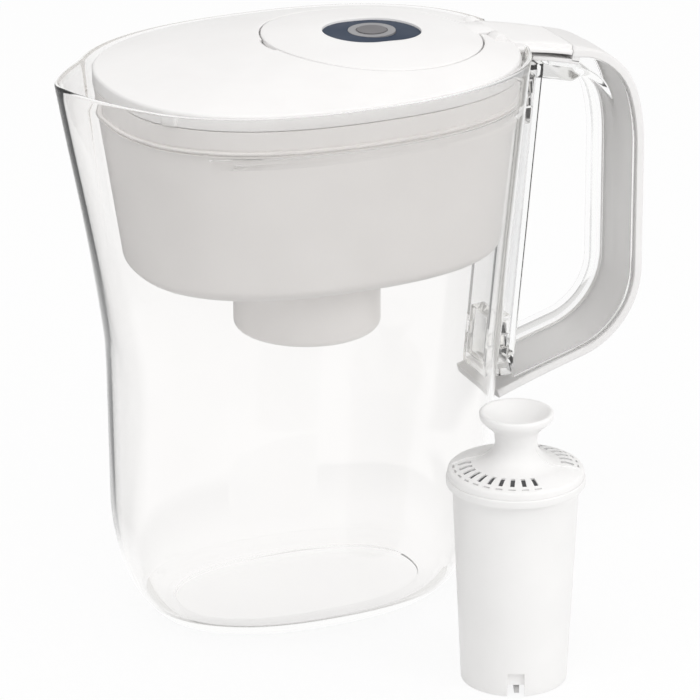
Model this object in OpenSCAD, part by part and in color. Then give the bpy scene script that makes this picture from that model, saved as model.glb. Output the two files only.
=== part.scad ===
// Water filter pitcher: a clear jug with a clipped-on handle, a lift-out reservoir with a
// filter collar, a crowned lid with a round flip door that carries a filter-change
// indicator, and the filter cartridge standing beside the jug.
// Millimetres, +Z up, +X towards the handle, origin at the centre of the jug's flat foot.

/* [Jug] */
// Height of the jug's rim
rim_h = 240; // [225:1:260]
// Rim's reach from the origin towards the spout, without the spout's lip
rim_front = 91; // [88:0.5:96]
// Rim's reach from the origin towards the handle
rim_back = 100.5; // [98:0.5:106]
// Half of the rim's width
rim_half_w = 73.5; // [70:0.5:80]
// Height at which the round lower corner ends
shoulder_h = 52; // [40:1:60]
// Body's reach towards the spout at the shoulder
shoulder_front = 81; // [76:0.5:84]
// Body's reach towards the handle at the shoulder
shoulder_back = 82.5; // [78:0.5:86]
// Half of the body's width at the shoulder
shoulder_half_w = 60; // [56:0.5:64]
// Height of the soft bend in the spout wall
waist_h = 122; // [112:1:130]
// Half length of the flat foot
foot_half_l = 57; // [50:0.5:62]
// Half width of the flat foot
foot_half_w = 38; // [32:0.5:42]
// How far the foot's middle lies towards the spout
foot_shift = 1.5; // [0:0.5:3]
// Thickness of the jug's wall
jug_wall = 2.2; // [1.8:0.1:2.6]
// Thickness of the jug's floor
jug_floor = 3.6; // [3:0.1:5]
// Depth of the shallow oval dish in the jug's floor
dish_depth = 0.8; // [0.4:0.1:1.2]
// How far the spout's lip reaches beyond the oval rim
spout_reach = 14.5; // [8:0.5:18]
// Half of the spout's width where it leaves the oval
spout_half_w = 34; // [28:1:40]
// Height at which the spout's keel starts
spout_start = 108; // [100:1:130]
// Rise of the lip above the rim
spout_lift = 3; // [0:0.5:5]

/* [Reservoir] */
// Outer height of the reservoir's floor above the foot
res_bottom_h = 154.6; // [148:0.5:165]
// Reservoir's wall thickness
res_wall = 2; // [1.6:0.1:2.4]
// Taper at the spout end, from its top to its floor
res_taper_front = 11; // [6:0.5:14]
// Taper at the handle end, from its top to its floor
res_taper_back = 6.5; // [5:0.5:12]
// Taper at each side, from its top to its floor
res_taper_side = 13; // [8:0.5:16]
// Radius of the reservoir's bottom edge
res_edge_r = 6; // [4:0.5:8]
// Height of the bead that rests on the jug's ledge, below the rim
bead_drop = 18; // [15:0.5:24]
// Where the ledge starts, measured from the origin towards the spout
ledge_start = 62; // [50:1:70]

/* [Filter collar] */
// Distance of the collar's axis from the origin, towards the handle
collar_x = 5; // [0:0.5:10]
// Inside radius of the collar
collar_bore_r = 27.4; // [27:0.1:29]
// Outside radius of the collar
collar_r = 31.2; // [30.8:0.1:33]
// Length of the collar below the reservoir's floor
collar_len = 31.5; // [24:0.5:36]

/* [Lid] */
// Crown of the lid above its edge
lid_crown = 9.8; // [6:0.2:12]
// Thickness of the lid
lid_t = 2.4; // [2:0.1:3]
// Height of the lid's skirt
skirt_h = 6.2; // [6:0.2:9]
// Gap between lid and jug wall at each side
side_gap = 1.1; // [0.8:0.1:2]
// Gap between lid and jug wall at the handle end
back_gap = 2.6; // [2:0.1:4]
// Pouring gap between lid and jug wall at the spout
pour_gap = 5.3; // [4:0.1:8]
// Length of the tongue that covers the handle's root
tongue_len = 26.5; // [20:0.5:28]

/* [Flip door] */
// Distance of the door's centre from the origin, towards the handle
door_x = 35.6; // [32:0.2:37]
// Radius of the door's opening in the lid
door_hole_r = 47.2; // [44:0.2:48]
// Gap round the door
door_gap = 0.7; // [0.5:0.1:1.2]
// How far the door opens, in degrees
door_open = 100; // [80:1:105]
// Distance of the hinge axis behind the door's opening
hinge_back = 5.4; // [5:0.1:6]
// Radius of the hinge pin
pin_r = 1.5; // [1.2:0.1:1.8]
// Radial clearance of the hinge pin in its bores
pin_clearance = 0.08; // [0.05:0.01:0.1]
// Radius of the hinge knuckles
knuckle_r = 3.4; // [3.2:0.1:3.6]
// Half width of the door's knuckle
knuckle_half_w = 8; // [6:0.5:10]
// Width of each lid ear
ear_w = 7; // [5:0.5:9]

/* [Indicator] */
// Radius of the label's round ends
face_r = 16.5; // [15:0.1:17]
// Distance between the centres of the round ends
face_span = 9.2; // [6:0.1:11]
// Radius of the button's light ring
ring_r = 10; // [9:0.1:10.5]
// Radius of the button
button_r = 6.6; // [6:0.1:7.4]
// Travel of the button
button_travel = 0.8; // [0.5:0.1:1]
// Thickness of the label plate
face_t = 0.8; // [0.6:0.1:1]
// Depth of the pocket under the label
pocket_depth = 10.2; // [10:0.1:12]
// Radius of the coin cell
cell_r = 10; // [8:0.1:10]
// Thickness of the coin cell
cell_t = 1.6; // [1.2:0.1:2]

/* [Handle] */
// Distance of the grip's outer face from the origin
grip_x = 157.4; // [155:0.2:161]
// Rise of the handle's top above the rim, at the lid's edge
root_rise = 0.7; // [0.4:0.1:1.2]
// Slope of the handle's top at the lid, in degrees
root_slope = 8.3; // [7:0.1:10]
// Slope of the handle's top where its corner starts, in degrees
top_slope = 16; // [14:0.2:19]
// Radius of the upper corner
top_corner_r = 34; // [30:0.5:36]
// Radius of the easier curve that ends the upper corner
ease_r = 86; // [60:1:100]
// Slope of the lower arm, in degrees
low_slope = 16.2; // [14:0.2:18]
// Height of the lower outer corner, before rounding
low_corner_h = 101.2; // [99:0.2:105]
// Radius of the lower corner
low_corner_r = 39; // [34:0.5:40]
// Half width of the grip
grip_half_w = 16.8; // [15:0.1:18]
// Half width of the handle where it meets the jug
root_half_w = 19.4; // [18:0.1:22]
// Height of the raised bar along the middle of the handle's top
bar_rise = 2.6; // [2:0.1:3]
// Width of the ledge beside the raised bar
ledge_w = 2; // [1:0.1:2.6]
// Thickness of the white strap's plate
strap_t = 1.7; // [1.4:0.1:2.2]
// Depth of the strap's side flanges
strap_flange = 3.2; // [3:0.1:4]
// Depth of the clear core under the strap
core_depth = 9; // [7:0.1:10]
// Wall of the clear core
core_wall = 2.6; // [2:0.1:3]
// Depth of the clear spine behind the jug
spine_depth = 11; // [10:0.1:13]
// Half width of the clear spine
spine_half_w = 12; // [11:0.1:14]

/* [Cartridge] */
// Where the cartridge stands, towards the handle
cart_x = 46.5; // [30:0.5:70]
// Where the cartridge stands, in front of the jug
cart_y = -117; // [-140:1:-112]
// Height of the cartridge's body up to its flange
cart_body_h = 90; // [85:1:105]
// Radius of the flange
cart_flange_r = 28.6; // [28.4:0.1:30]
// Radius of the body under the flange
cart_top_r = 26.2; // [25:0.1:26.5]
// Radius of the body at its foot
cart_foot_r = 22; // [20:0.1:23]
// Wall of the cartridge's shell
cart_wall = 1.6; // [1.2:0.1:2]
// Height of the cap above the flange
cart_cap_h = 28; // [26:0.5:34]
// Radius of the cap's knob
knob_r = 15.2; // [13:0.1:17]
// Number of inlet slots on each side
slots_per_side = 10; // [6:1:12]

/* [Hidden] */

plan_points = 60;      // points round each oval
plan_power = 2.36;     // superellipse power of every oval
corner_power = 1.94;   // roundness of the jug's lower corner
tip_r = 7;             // softness of the spout's tip
seat = 0.3;            // gap where pieces of different bodies rest on each other
fit = 0.2;             // gap between fitted pieces of one body
soft_edge = 1.2;       // small edge radius
$fn = 72;

// ---- general shapes ----------------------------------------------------------

function clamp01(v) = min(1, max(0, v));
function mix(a, b, s) = a + (b - a) * s;
function signed_pow(v, p) = sign(v) * pow(abs(v), p);

// Angles round an oval, closer together at the spout's tip.
plan_angles = [for (i = [0 : plan_points - 1]) let (u = 360 * i / plan_points) u + 26 * sin(u)];

// One oval in plan: reach to the front (-X), to the back (+X) and half width.
function oval(front, back, half_w, z) = [
    for (a = plan_angles)
        [(back - front) / 2 + (back + front) / 2 * signed_pow(cos(a), 2 / plan_power),
         half_w * signed_pow(sin(a), 2 / plan_power), z]
];

// A closed solid through a stack of rings that all have the same number of points.
module loft(rings) {
    n = len(rings[0]);
    points = [for (r = rings) each r];
    sides = [for (k = [0 : len(rings) - 2], i = [0 : n - 1])
        let (j = (i + 1) % n, a = k * n)
        each [[a + i, a + n + i, a + n + j], [a + i, a + n + j, a + j]]];
    first_cap = [for (i = [0 : n - 1]) i];
    last_cap = [for (i = [n - 1 : -1 : 0]) (len(rings) - 1) * n + i];
    polyhedron(points, concat([first_cap], sides, [last_cap]));
}

module stadium(r, span) {
    translate([-span / 2, 0]) circle(r);
    translate([span / 2, 0]) circle(r);
    square([span, 2 * r], center = true);
}

// ---- jug ------------------------------------------------------------------------

// How far the body has opened from foot (0) to shoulder (1).
function corner_open(z) =
    pow(1 - pow(1 - clamp01(z / shoulder_h), corner_power), 1 / corner_power);
function above_shoulder(z) = clamp01((z - shoulder_h) / (rim_h - shoulder_h));
function jug_front(z) =
    z < shoulder_h ? mix(foot_half_l + foot_shift, shoulder_front, corner_open(z))
    : z < waist_h ? shoulder_front
    : mix(shoulder_front, rim_front, (z - waist_h) / (rim_h - waist_h));
function jug_back(z) =
    z < shoulder_h ? mix(foot_half_l - foot_shift, shoulder_back, corner_open(z))
    : mix(shoulder_back, rim_back, above_shoulder(z));
function jug_half_w(z) =
    z < shoulder_h ? mix(foot_half_w, shoulder_half_w, corner_open(z))
    : mix(shoulder_half_w, rim_half_w, above_shoulder(z));

function spout_share(z) = pow(clamp01((z - spout_start) / (rim_h - spout_start)), 1.15);
function spout_profile(y) =
    pow(max(0, 1 - (sqrt(y * y + tip_r * tip_r) - tip_r) / spout_half_w), 1.3);

// The jug's section at height z, moved in by inset.
function jug_ring(z, inset = 0) = [
    for (p = oval(jug_front(z) - inset, jug_back(z) - inset, jug_half_w(z) - inset, z))
        let (lip = p[0] < 0 ? spout_profile(p[1]) : 0)
        [p[0] - spout_reach * spout_share(z) * lip, p[1],
         z + spout_lift * lip * pow(clamp01((z - rim_h + lift_h) / lift_h), 2)]
];

corner_steps = [for (a = [0 : 15 : 90]) 1 - pow(cos(a), 2 / corner_power)];
lift_h = 35;           // height over which the spout's lip rises
body_levels = [86, waist_h, 150, 180, 210];

// The ledge that carries the reservoir's bead, left out round the spout.
ledge_top = rim_h - bead_drop - seat;
ledge_t = 2;
function ledge_ring(z) = let (wall = jug_ring(z, jug_wall), edge = reservoir_ring(z, -0.4))
    [for (i = [0 : plan_points - 1]) wall[i][0] > -ledge_start ? edge[i] : wall[i]];

module jug_body() {
    outer = concat(
        [for (s = corner_steps) jug_ring(s * shoulder_h)],
        [for (z = body_levels) jug_ring(z)],
        [jug_ring(rim_h - soft_edge)]);
    rim = [jug_ring(rim_h, 0.5), jug_ring(rim_h, jug_wall - 0.5)];
    inner = concat(
        [jug_ring(rim_h - soft_edge, jug_wall), jug_ring(ledge_top + 0.02, jug_wall)],
        [ledge_ring(ledge_top), ledge_ring(ledge_top - ledge_t)],
        [jug_ring(ledge_top - 2 * ledge_t, jug_wall)],
        [for (i = [3 : -1 : 0]) jug_ring(body_levels[i], jug_wall)],
        [for (i = [6 : -1 : 3]) jug_ring(corner_steps[i] * shoulder_h, jug_wall)],
        [jug_ring(corner_steps[2] * shoulder_h * 0.85, jug_wall + 1.5)]);
    floor_edge = [for (p = jug_ring(0)) [p[0] * 0.97, p[1] * 0.84, jug_floor + dish_depth]];
    dish = [for (p = floor_edge) [p[0] * 0.985, p[1] * 0.975, jug_floor]];
    loft(concat(outer, rim, inner, [floor_edge, dish]));
}

// Blocks behind the jug that the handle's spine clips over.
lug_half_w = spine_half_w - core_wall - fit;
barb_out = core_wall * 0.6;
barb_h = 6;

module jug_lugs() {
    reach = spine_depth - core_wall - fit;
    for (low = lug_heights) {
        high = low + lug_h;
        across(lug_half_w) polygon([
            [jug_back(low) - jug_wall / 2, low], [jug_back(low) + reach, low],
            [jug_back(high) + reach, high], [jug_back(high) - jug_wall / 2, high]]);
        for (side = [-1, 1])
            translate([jug_back(low + lug_h / 2) + reach / 2, side * lug_half_w, low + lug_h / 2])
                cube([reach / 2, 2 * barb_out, barb_h], center = true);
    }
}

// The low place in the rim that lets the lid's tongue out.
notch_reach = 8;
module rim_notch() across(root_half_w + 0.8)
    polygon(band([top_station(lid_back - notch_reach), top_station(rim_back + notch_reach)],
                 -notch_reach, tongue_t + seat));

module jug() color([0.9, 0.95, 0.97, 0.4]) difference() {
    union() {
        jug_body();
        jug_lugs();
    }
    rim_notch();
}

// ---- reservoir --------------------------------------------------------------------

lid_front = rim_front - jug_wall - pour_gap;
lid_back = rim_back - jug_wall - back_gap;
lid_half_w = rim_half_w - jug_wall - side_gap;
lid_edge_h = rim_h;
res_top_h = lid_edge_h - skirt_h - seat;

function res_share(z) = clamp01((res_top_h - z) / (res_top_h - res_bottom_h));
function within_jug(reach, wall_reach) = min(reach, wall_reach - jug_wall - seat);
function reservoir_ring(z, inset = 0) = oval(
    within_jug(lid_front - fit - res_taper_front * res_share(z), jug_front(z)) - inset,
    within_jug(lid_back - fit - res_taper_back * res_share(z), jug_back(z)) - inset,
    within_jug(lid_half_w - fit - res_taper_side * res_share(z), jug_half_w(z)) - inset, z);

bead_h = rim_h - bead_drop;
bead_t = 2.6;
// The bead fills the space to the jug's side walls, less its clearance.
bead_out = jug_half_w(bead_h) - jug_wall - seat
    - (lid_half_w - fit - res_taper_side * res_share(bead_h + bead_t));
lip_h = 3;
lip_t = 1.4;
skirt_t = 2;
res_floor_t = 2.4;
collar_edge_r = 3.2;

module reservoir_tub() {
    edge = [for (a = [0 : 22.5 : 90])
        reservoir_ring(res_bottom_h + res_edge_r * (1 - cos(a)), res_edge_r * (1 - sin(a)))];
    outer = concat(edge,
        [reservoir_ring(bead_h), reservoir_ring(bead_h + 0.3, -bead_out),
         reservoir_ring(bead_h + bead_t - 0.3, -bead_out), reservoir_ring(bead_h + bead_t),
         reservoir_ring(res_top_h)]);
    lip = [for (p = [[res_top_h, skirt_t + fit], [res_top_h + lip_h, skirt_t + fit],
                     [res_top_h + lip_h, skirt_t + fit + lip_t]])
        reservoir_ring(p[0], p[1])];
    floor_h = res_bottom_h + res_floor_t;
    inner = [reservoir_ring(res_top_h - lip_h, skirt_t + fit + lip_t),
             reservoir_ring(res_top_h - 2 * lip_h, res_wall),
             reservoir_ring(floor_h + res_edge_r, res_wall),
             reservoir_ring(floor_h + res_edge_r * 0.3, res_wall + res_edge_r * 0.3),
             reservoir_ring(floor_h, res_wall + res_edge_r)];
    loft(concat(outer, lip, inner));
}

seat_step_r = cart_flange_r + 0.6;
seat_step_depth = 3;
collar_foot_h = res_bottom_h - collar_len;

module collar() translate([collar_x, 0, 0])
    rotate_extrude() {
        wall_t = collar_r - collar_bore_r;
        translate([collar_bore_r, collar_foot_h + collar_edge_r])
            square([wall_t, collar_len - collar_edge_r + res_floor_t]);
        translate([collar_bore_r, collar_foot_h])
            square([wall_t - collar_edge_r, collar_edge_r + 1]);
        translate([collar_r - collar_edge_r, collar_foot_h + collar_edge_r])
            circle(collar_edge_r);
        translate([collar_r, res_bottom_h - 1])
            square([0.8, 1]);
    }

module reservoir() color([0.93, 0.92, 0.91]) difference() {
    reservoir_tub();
    translate([collar_x, 0, res_bottom_h - 1]) cylinder(r = collar_r, h = res_floor_t + 2);
}

module filter_collar() color([0.93, 0.92, 0.91]) difference() {
    collar();
    translate([collar_x, 0, res_bottom_h + res_floor_t - seat_step_depth])
        cylinder(r = seat_step_r, h = seat_step_depth + 1);
}

// ---- lid and flip door ----------------------------------------------------------------

crown_x = lid_back - 71.7;
dome_shares = [0.1, 0.3, 0.5, 0.7, 0.86, 1];
label_rings = 3;       // rings that the label and its stack lie within
door_rings = 5;        // rings that the door lies within

function lid_edge(inset, z) = oval(lid_front - inset, lid_back - inset, lid_half_w - inset, z);
function dome_ring(share, inset, drop) = [
    for (p = lid_edge(inset, 0))
        [mix(crown_x, p[0], share), p[1] * share,
         lid_edge_h + lid_crown * (1 - share * share) - drop]
];

// A slab that follows the lid's crown, between two depths below its surface. It reaches
// out to the given number of rings.
module dome_slab(top, bottom, rings = len(dome_shares)) {
    loft(concat([for (i = [0 : rings - 1]) dome_ring(dome_shares[i], 0, bottom)],
                [for (i = [rings - 1 : -1 : 0]) dome_ring(dome_shares[i], 0, top)]));
}

module lid_shell() {
    shares = dome_shares;
    last = len(shares) - 1;
    under = [for (i = [0 : last]) dome_ring(shares[i], skirt_t, lid_t)];
    skirt = [lid_edge(skirt_t, lid_edge_h - skirt_h), lid_edge(0, lid_edge_h - skirt_h),
             lid_edge(0, lid_edge_h - soft_edge)];
    top = concat([dome_ring(0.985, 0, 0)],
                 [for (i = [last - 1 : -1 : 0]) dome_ring(shares[i], 0, 0)]);
    loft(concat(under, skirt, top));
}

hinge_x = door_x + door_hole_r + hinge_back;
function dome_height(x) =
    lid_edge_h + lid_crown * (1 - pow((x - crown_x) / (lid_back - crown_x), 2));
hinge_h = dome_height(hinge_x) - 1.2;
notch_half_w = knuckle_half_w + 0.5;
door_r = door_hole_r - door_gap;
rest_w = 2.6;
rest_t = 1.6;
finger_notch_w = 17;
finger_notch_depth = 1.6;
ear_end_t = 1.2;       // wall that closes the outer end of each ear's bore

module hinge_bores(r) translate([hinge_x, 0, hinge_h]) rotate([90, 0, 0])
    cylinder(r = r, h = 2 * (notch_half_w + ear_w - ear_end_t), center = true);

module lid_ears()
    for (side = [-1, 1])
        translate([hinge_x, side * (notch_half_w + ear_w / 2), hinge_h]) {
            rotate([90, 0, 0]) cylinder(r = knuckle_r, h = ear_w, center = true);
            translate([-knuckle_r, -ear_w / 2, -knuckle_r - 0.6])
                cube([2 * knuckle_r, ear_w, knuckle_r + 0.6]);
        }

// The ring under the opening that the closed door rests on.
module door_rest() difference() {
    intersection() {
        dome_slab(lid_t / 2, lid_t + seat + rest_t, door_rings);
        door_column(door_hole_r + 1.6);
    }
    intersection() {
        dome_slab(-1, lid_t + seat, door_rings);
        door_column(door_hole_r);
    }
    door_column(door_hole_r - rest_w);
}
tall = 50;             // more than the lid, the door and the indicator together
module door_column(r) translate([door_x, 0, lid_edge_h - tall / 2]) cylinder(r = r, h = tall);

module lid_hinge_notch(grow) translate([door_x + door_hole_r - 6, -notch_half_w - grow, lid_edge_h - 12])
    cube([hinge_back + 6 + knuckle_r + 0.5 + grow, 2 * (notch_half_w + grow), tall]);

// Small pads on the skirt that steady the lid between the jug's walls.
pad_angle = 148.5;
pad_turn = 144;        // direction in which a pad looks
pad_l = 7.4;
pad_t = 2.6;           // half of it stands out from the skirt
pad_h = 4.2;
module skirt_pads()
    for (side = [-1, 1]) {
        a = side * pad_angle;
        translate([(lid_back - lid_front) / 2 + (lid_back + lid_front) / 2
                       * signed_pow(cos(a), 2 / plan_power),
                   lid_half_w * signed_pow(sin(a), 2 / plan_power), lid_edge_h - skirt_h + pad_h / 2])
            rotate([0, 0, side * pad_turn]) cube([pad_t, pad_l, pad_h], center = true);
    }

module lid() color([0.97, 0.97, 0.96]) {
    difference() {
        union() {
            lid_shell();
            lid_ears();
            skirt_pads();
        }
        door_column(door_hole_r);
        translate([door_x - door_hole_r, 0, lid_edge_h - 10])
            scale([finger_notch_depth / (finger_notch_w / 2), 1, 1])
                cylinder(r = finger_notch_w / 2, h = tall);
        lid_hinge_notch(0);
        hinge_bores(pin_r + pin_clearance);
    }
    difference() {
        door_rest();
        lid_hinge_notch(0);
    }
    tongue();
}

module door_plate() intersection() {
    dome_slab(0, lid_t, door_rings);
    door_column(door_r);
}

// ---- indicator stack: heights from the label's face down -----------------------------

face_drop = 0.3;
stack_top = dome_height(door_x + face_span / 2 + face_r) - face_drop - face_t - 0.05;
ring_top = dome_height(door_x + ring_r) - 0.1;
pocket_floor = stack_top - pocket_depth;
pocket_wall = 1.4;
housing_wall = 1.2;
housing_gap = 0.15;
housing_r = face_r - housing_gap;
back_t = 1.2;
back_bottom = pocket_floor + 0.1;
back_top = back_bottom + back_t;
housing_bottom = back_top + 0.05;
inner_r = housing_r - housing_wall;
cell_bottom = back_top + 0.35;
clip_t = 0.25;
board_t = 1;
board_bottom = cell_bottom + cell_t + clip_t + 0.25;
board_top = board_bottom + board_t;
switch_h = 1.2;
button_top = ring_top + 0.3;
button_clearance = 0.15;

module at_door(z) translate([door_x, 0, z]) children();

module flip_door() color([0.98, 0.98, 0.97]) difference() {
    union() {
        door_plate();
        intersection() {
            at_door(pocket_floor - pocket_wall) linear_extrude(tall)
                stadium(face_r + pocket_wall, face_span);
            dome_slab(0.1, tall / 2, label_rings);
        }
        hinge_leaf();
    }
    at_door(pocket_floor) linear_extrude(tall) stadium(face_r + fit / 2, face_span);
}

// The arm that joins the door to its knuckle, with the pin moulded on both sides.
module hinge_leaf() {
    leaf_start = door_x + door_r - 3;
    translate([hinge_x, 0, hinge_h]) rotate([90, 0, 0]) {
        cylinder(r = knuckle_r - 0.4, h = 2 * knuckle_half_w, center = true);
        cylinder(r = pin_r, h = 2 * (notch_half_w + ear_w - ear_end_t - seat), center = true);
    }
    translate([0, knuckle_half_w, 0]) rotate([90, 0, 0]) linear_extrude(2 * knuckle_half_w)
        polygon([[leaf_start, dome_height(leaf_start) - 0.1],
                 [hinge_x, hinge_h + knuckle_r - 0.5],
                 [hinge_x, hinge_h - 1],
                 [leaf_start, dome_height(leaf_start) - lid_t + 0.1]]);
}

module indicator_housing() color([0.88, 0.88, 0.87]) difference() {
    intersection() {
        at_door(housing_bottom) linear_extrude(tall) stadium(housing_r, face_span);
        dome_slab(face_drop + face_t + 0.05, tall / 2, label_rings);
    }
    at_door(housing_bottom - 1) linear_extrude(stack_top - housing_bottom + 1 - housing_wall)
        stadium(inner_r, face_span);
    at_door(stack_top - 5) cylinder(r = ring_r + fit, h = 10);
    at_door(housing_bottom - 0.01) difference() {
        linear_extrude(seal_t / 2) stadium(inner_r + 0.6, face_span);
        translate([0, 0, -1]) linear_extrude(5) stadium(inner_r - 0.1, face_span);
    }
}

module indicator_face() color([0.38, 0.44, 0.5]) intersection() {
    at_door(stack_top - 5) linear_extrude(20) difference() {
        stadium(face_r, face_span);
        circle(ring_r + fit / 2);
    }
    dome_slab(face_drop, face_drop + face_t, label_rings);
}

light_ring_bottom = board_top + 1.4;
module light_ring() color([0.63, 0.6, 0.58]) at_door(0) rotate_extrude() {
    inner = button_r + button_clearance;
    translate([inner, light_ring_bottom]) square([ring_r - inner, ring_top - light_ring_bottom]);
    translate([ring_r - 0.1, light_ring_bottom])
        square([1.1, stack_top - housing_wall - 0.05 - light_ring_bottom]);
}

switch_gap = 0.05;
module indicator_button() color([0.5, 0.49, 0.49]) at_door(0) rotate_extrude() {
    skirt_bottom = light_ring_bottom + button_travel + 0.3;
    translate([0, button_top - 1.4]) square([button_r - 0.4, 1.4]);
    translate([0, button_top - 1.4]) square([button_r, 1]);
    translate([button_r - 1, skirt_bottom]) square([1, button_top - 1 - skirt_bottom]);
    stem_bottom = board_top + switch_h + button_travel + switch_gap;
    translate([0, stem_bottom]) square([1.5, button_top - 1 - stem_bottom]);
}

module circuit_board() color([0.1, 0.35, 0.22]) difference() {
    at_door(board_bottom) linear_extrude(board_t) stadium(inner_r - fit, face_span);
    for (side = [-1, 1])
        at_door(board_bottom - 1) translate([side * (face_span / 2 + inner_r - 3), 0, 0])
            cylinder(r = 0.8, h = board_t + 2);
}

module switch() color([0.75, 0.75, 0.76]) at_door(board_top) {
    translate([-2.6, -2.6, 0.02]) cube([5.2, 5.2, switch_h - 0.3]);
    cylinder(r = 1.6, h = switch_h);
}

led_r = button_r + 1.7;
module leds() color([0.95, 0.95, 0.85])
    for (a = [90, 210, 330])
        at_door(board_top + 0.02) rotate([0, 0, a]) translate([led_r - 1, -0.6, 0])
            cube([2, 1.2, 0.8]);

module coin_cell() color([0.8, 0.81, 0.82]) at_door(0) rotate_extrude() {
    translate([0, cell_bottom]) square([cell_r, cell_t - 0.3]);
    translate([0, cell_bottom]) square([cell_r - 0.8, cell_t]);
}

module cell_clip() color([0.82, 0.7, 0.4]) at_door(0) {
    clip_top = board_bottom - 0.02;
    translate([-cell_r - 1.2, -2, clip_top - clip_t]) cube([2 * cell_r + 2.4, 4, clip_t]);
    for (side = [-1, 1])
        translate([side * (cell_r + 0.7) - 0.5, -2, cell_bottom]) cube([1, 4, clip_top - cell_bottom]);
}

seal_t = 1.1;
module indicator_back() color([0.86, 0.86, 0.85]) difference() {
    at_door(back_bottom) linear_extrude(back_t) stadium(housing_r, face_span);
    at_door(back_top - seal_t / 2) difference() {
        linear_extrude(2) stadium(inner_r + 0.6, face_span);
        translate([0, 0, -1]) linear_extrude(4) stadium(inner_r - 0.1, face_span);
    }
}

module indicator_seal() color([0.2, 0.2, 0.2])
    at_door(back_top - seal_t / 2 + 0.02) linear_extrude(seal_t - 0.02) difference() {
        stadium(inner_r + 0.55, face_span);
        stadium(inner_r - 0.05, face_span);
    }

// ---- handle ---------------------------------------------------------------------------

// The handle follows one outer line in the XZ plane: a long bow from the lid, the upper
// corner in two curves, the grip, the lower corner and the lower arm. A station is
// [x, z, angle of the outward normal, half width, share of the raised bar's height].
ease_slope = 74;       // slope at which the upper corner passes into its easier curve
top_arc_x = grip_x - top_corner_r * (sin(ease_slope) - sin(top_slope))
    - ease_r * (1 - sin(ease_slope));
bow_r = (top_arc_x - lid_back) / (sin(top_slope) - sin(root_slope));
function slope_at(x) = asin(sin(root_slope) + (x - lid_back) / bow_r);
function top_line(x) = lid_edge_h + root_rise + bow_r * (cos(slope_at(x)) - cos(root_slope));
function root_share(x) = clamp01((top_arc_x - x) / (top_arc_x - lid_back));
function top_station(x) = [x, top_line(x), 90 - slope_at(x),
    mix(grip_half_w, root_half_w, pow(root_share(x), 2)), min(1, 3 * root_share(x))];

spine_gap = 0.3;       // between the spine or the strap and the jug's wall
low_angle = -(90 - low_slope);
low_arc_h = low_corner_h + low_corner_r * tan(-low_angle / 2);
low_arc_x = grip_x - low_corner_r * (1 - cos(low_angle));
low_root_x = shoulder_back + spine_gap;
function low_line(x) = low_corner_h - tan(low_slope) * (grip_x - x);
function low_share(x) = clamp01((low_arc_x - 6 - x) / (low_arc_x - 6 - low_root_x));
function low_station(x) =
    [x, low_line(x), low_angle, mix(grip_half_w, root_half_w, pow(low_share(x), 2)), 0];

function arc_stations(centre, r, from, to, steps) = [
    for (i = [0 : steps]) let (a = mix(from, to, i / steps))
        [centre[0] + r * cos(a), centre[1] + r * sin(a), a, grip_half_w, 0]
];
// The centre of the next curve, which goes on smoothly from the last station.
function next_centre(s, r) = [s[0] - r * cos(s[2]), s[1] - r * sin(s[2])];
upper_corner = arc_stations(next_centre(top_station(top_arc_x), top_corner_r),
    top_corner_r, 90 - top_slope, 90 - ease_slope, 7);
upper_ease = arc_stations(next_centre(upper_corner[7], ease_r), ease_r, 90 - ease_slope, 0, 2);
lower_corner = arc_stations([grip_x - low_corner_r, low_arc_h], low_corner_r, 0, low_angle, 8);
bend_stations = concat(upper_corner, [upper_ease[1], upper_ease[2]], lower_corner);

// A line parallel to the stations, d inside them.
function inside(stations, d) =
    [for (s = stations) [s[0] - d * cos(s[2]), s[1] - d * sin(s[2])]];

// A band between two depths, as a flat outline in XZ.
function band(stations, d_out, d_in) =
    let (a = inside(stations, d_out), b = inside(stations, d_in))
    concat(a, [for (i = [len(b) - 1 : -1 : 0]) b[i]]);

module across(half_w) translate([0, half_w, 0]) rotate([90, 0, 0])
    linear_extrude(2 * half_w) children();

// A ring of a swept solid. A section point is [side, in, depth]: its place across is
// side * half width - side * in, and depth is measured inwards.
function swept_ring(s, section) = [
    for (p = section)
        [s[0] - p[2] * cos(s[2]), sign(p[0]) * p[1] - p[0] * s[3], s[1] - p[2] * sin(s[2])]
];

// The strap's outside: a lightly crowned bar between two ledges. Towards the grip the bar
// sinks until only a rounded edge is left.
bar_crown = 0.4;
function strap_top(s) =
    let (w = mix(soft_edge * 0.7, ledge_w, s[4]), drop = mix(soft_edge * 0.8, bar_rise, s[4]))
    concat([[-1, 0, drop + 0.4], [-1, 0.3, drop], [-1, w - 0.2, drop]],
           [for (u = [-1 : 0.5 : 1]) [u, abs(u) * w, bar_crown * u * u]],
           [[1, w - 0.2, drop], [1, 0.3, drop], [1, 0, drop + 0.4]]);
tongue_t = bar_rise + strap_t;
side_depth = tongue_t + strap_flange - strap_t;
function strap_ring(s) = swept_ring(s, concat(strap_top(s),
    [[1, 0, side_depth], [1, strap_t, side_depth], [1, strap_t, tongue_t],
     [-1, strap_t, tongue_t], [-1, strap_t, side_depth], [-1, 0, side_depth]]));
function tongue_ring(s) = swept_ring(s, concat(strap_top(s), [[1, 0, tongue_t], [-1, 0, tongue_t]]));

tongue_start = lid_back - 3;
tongue_end = lid_back + tongue_len;
module tongue() loft([for (i = [0 : 4])
    tongue_ring(top_station(mix(tongue_start, tongue_end, i / 4)))]);

strap_start = tongue_end + seat;
step_end = strap_start + 4;
plate_start = rim_back + 3.4;
plate_depth = tongue_t + 2;
plate_t = 1.8;
low_end_x = jug_back(low_line(low_root_x) + side_depth) + spine_gap + side_depth * cos(low_angle);

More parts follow.
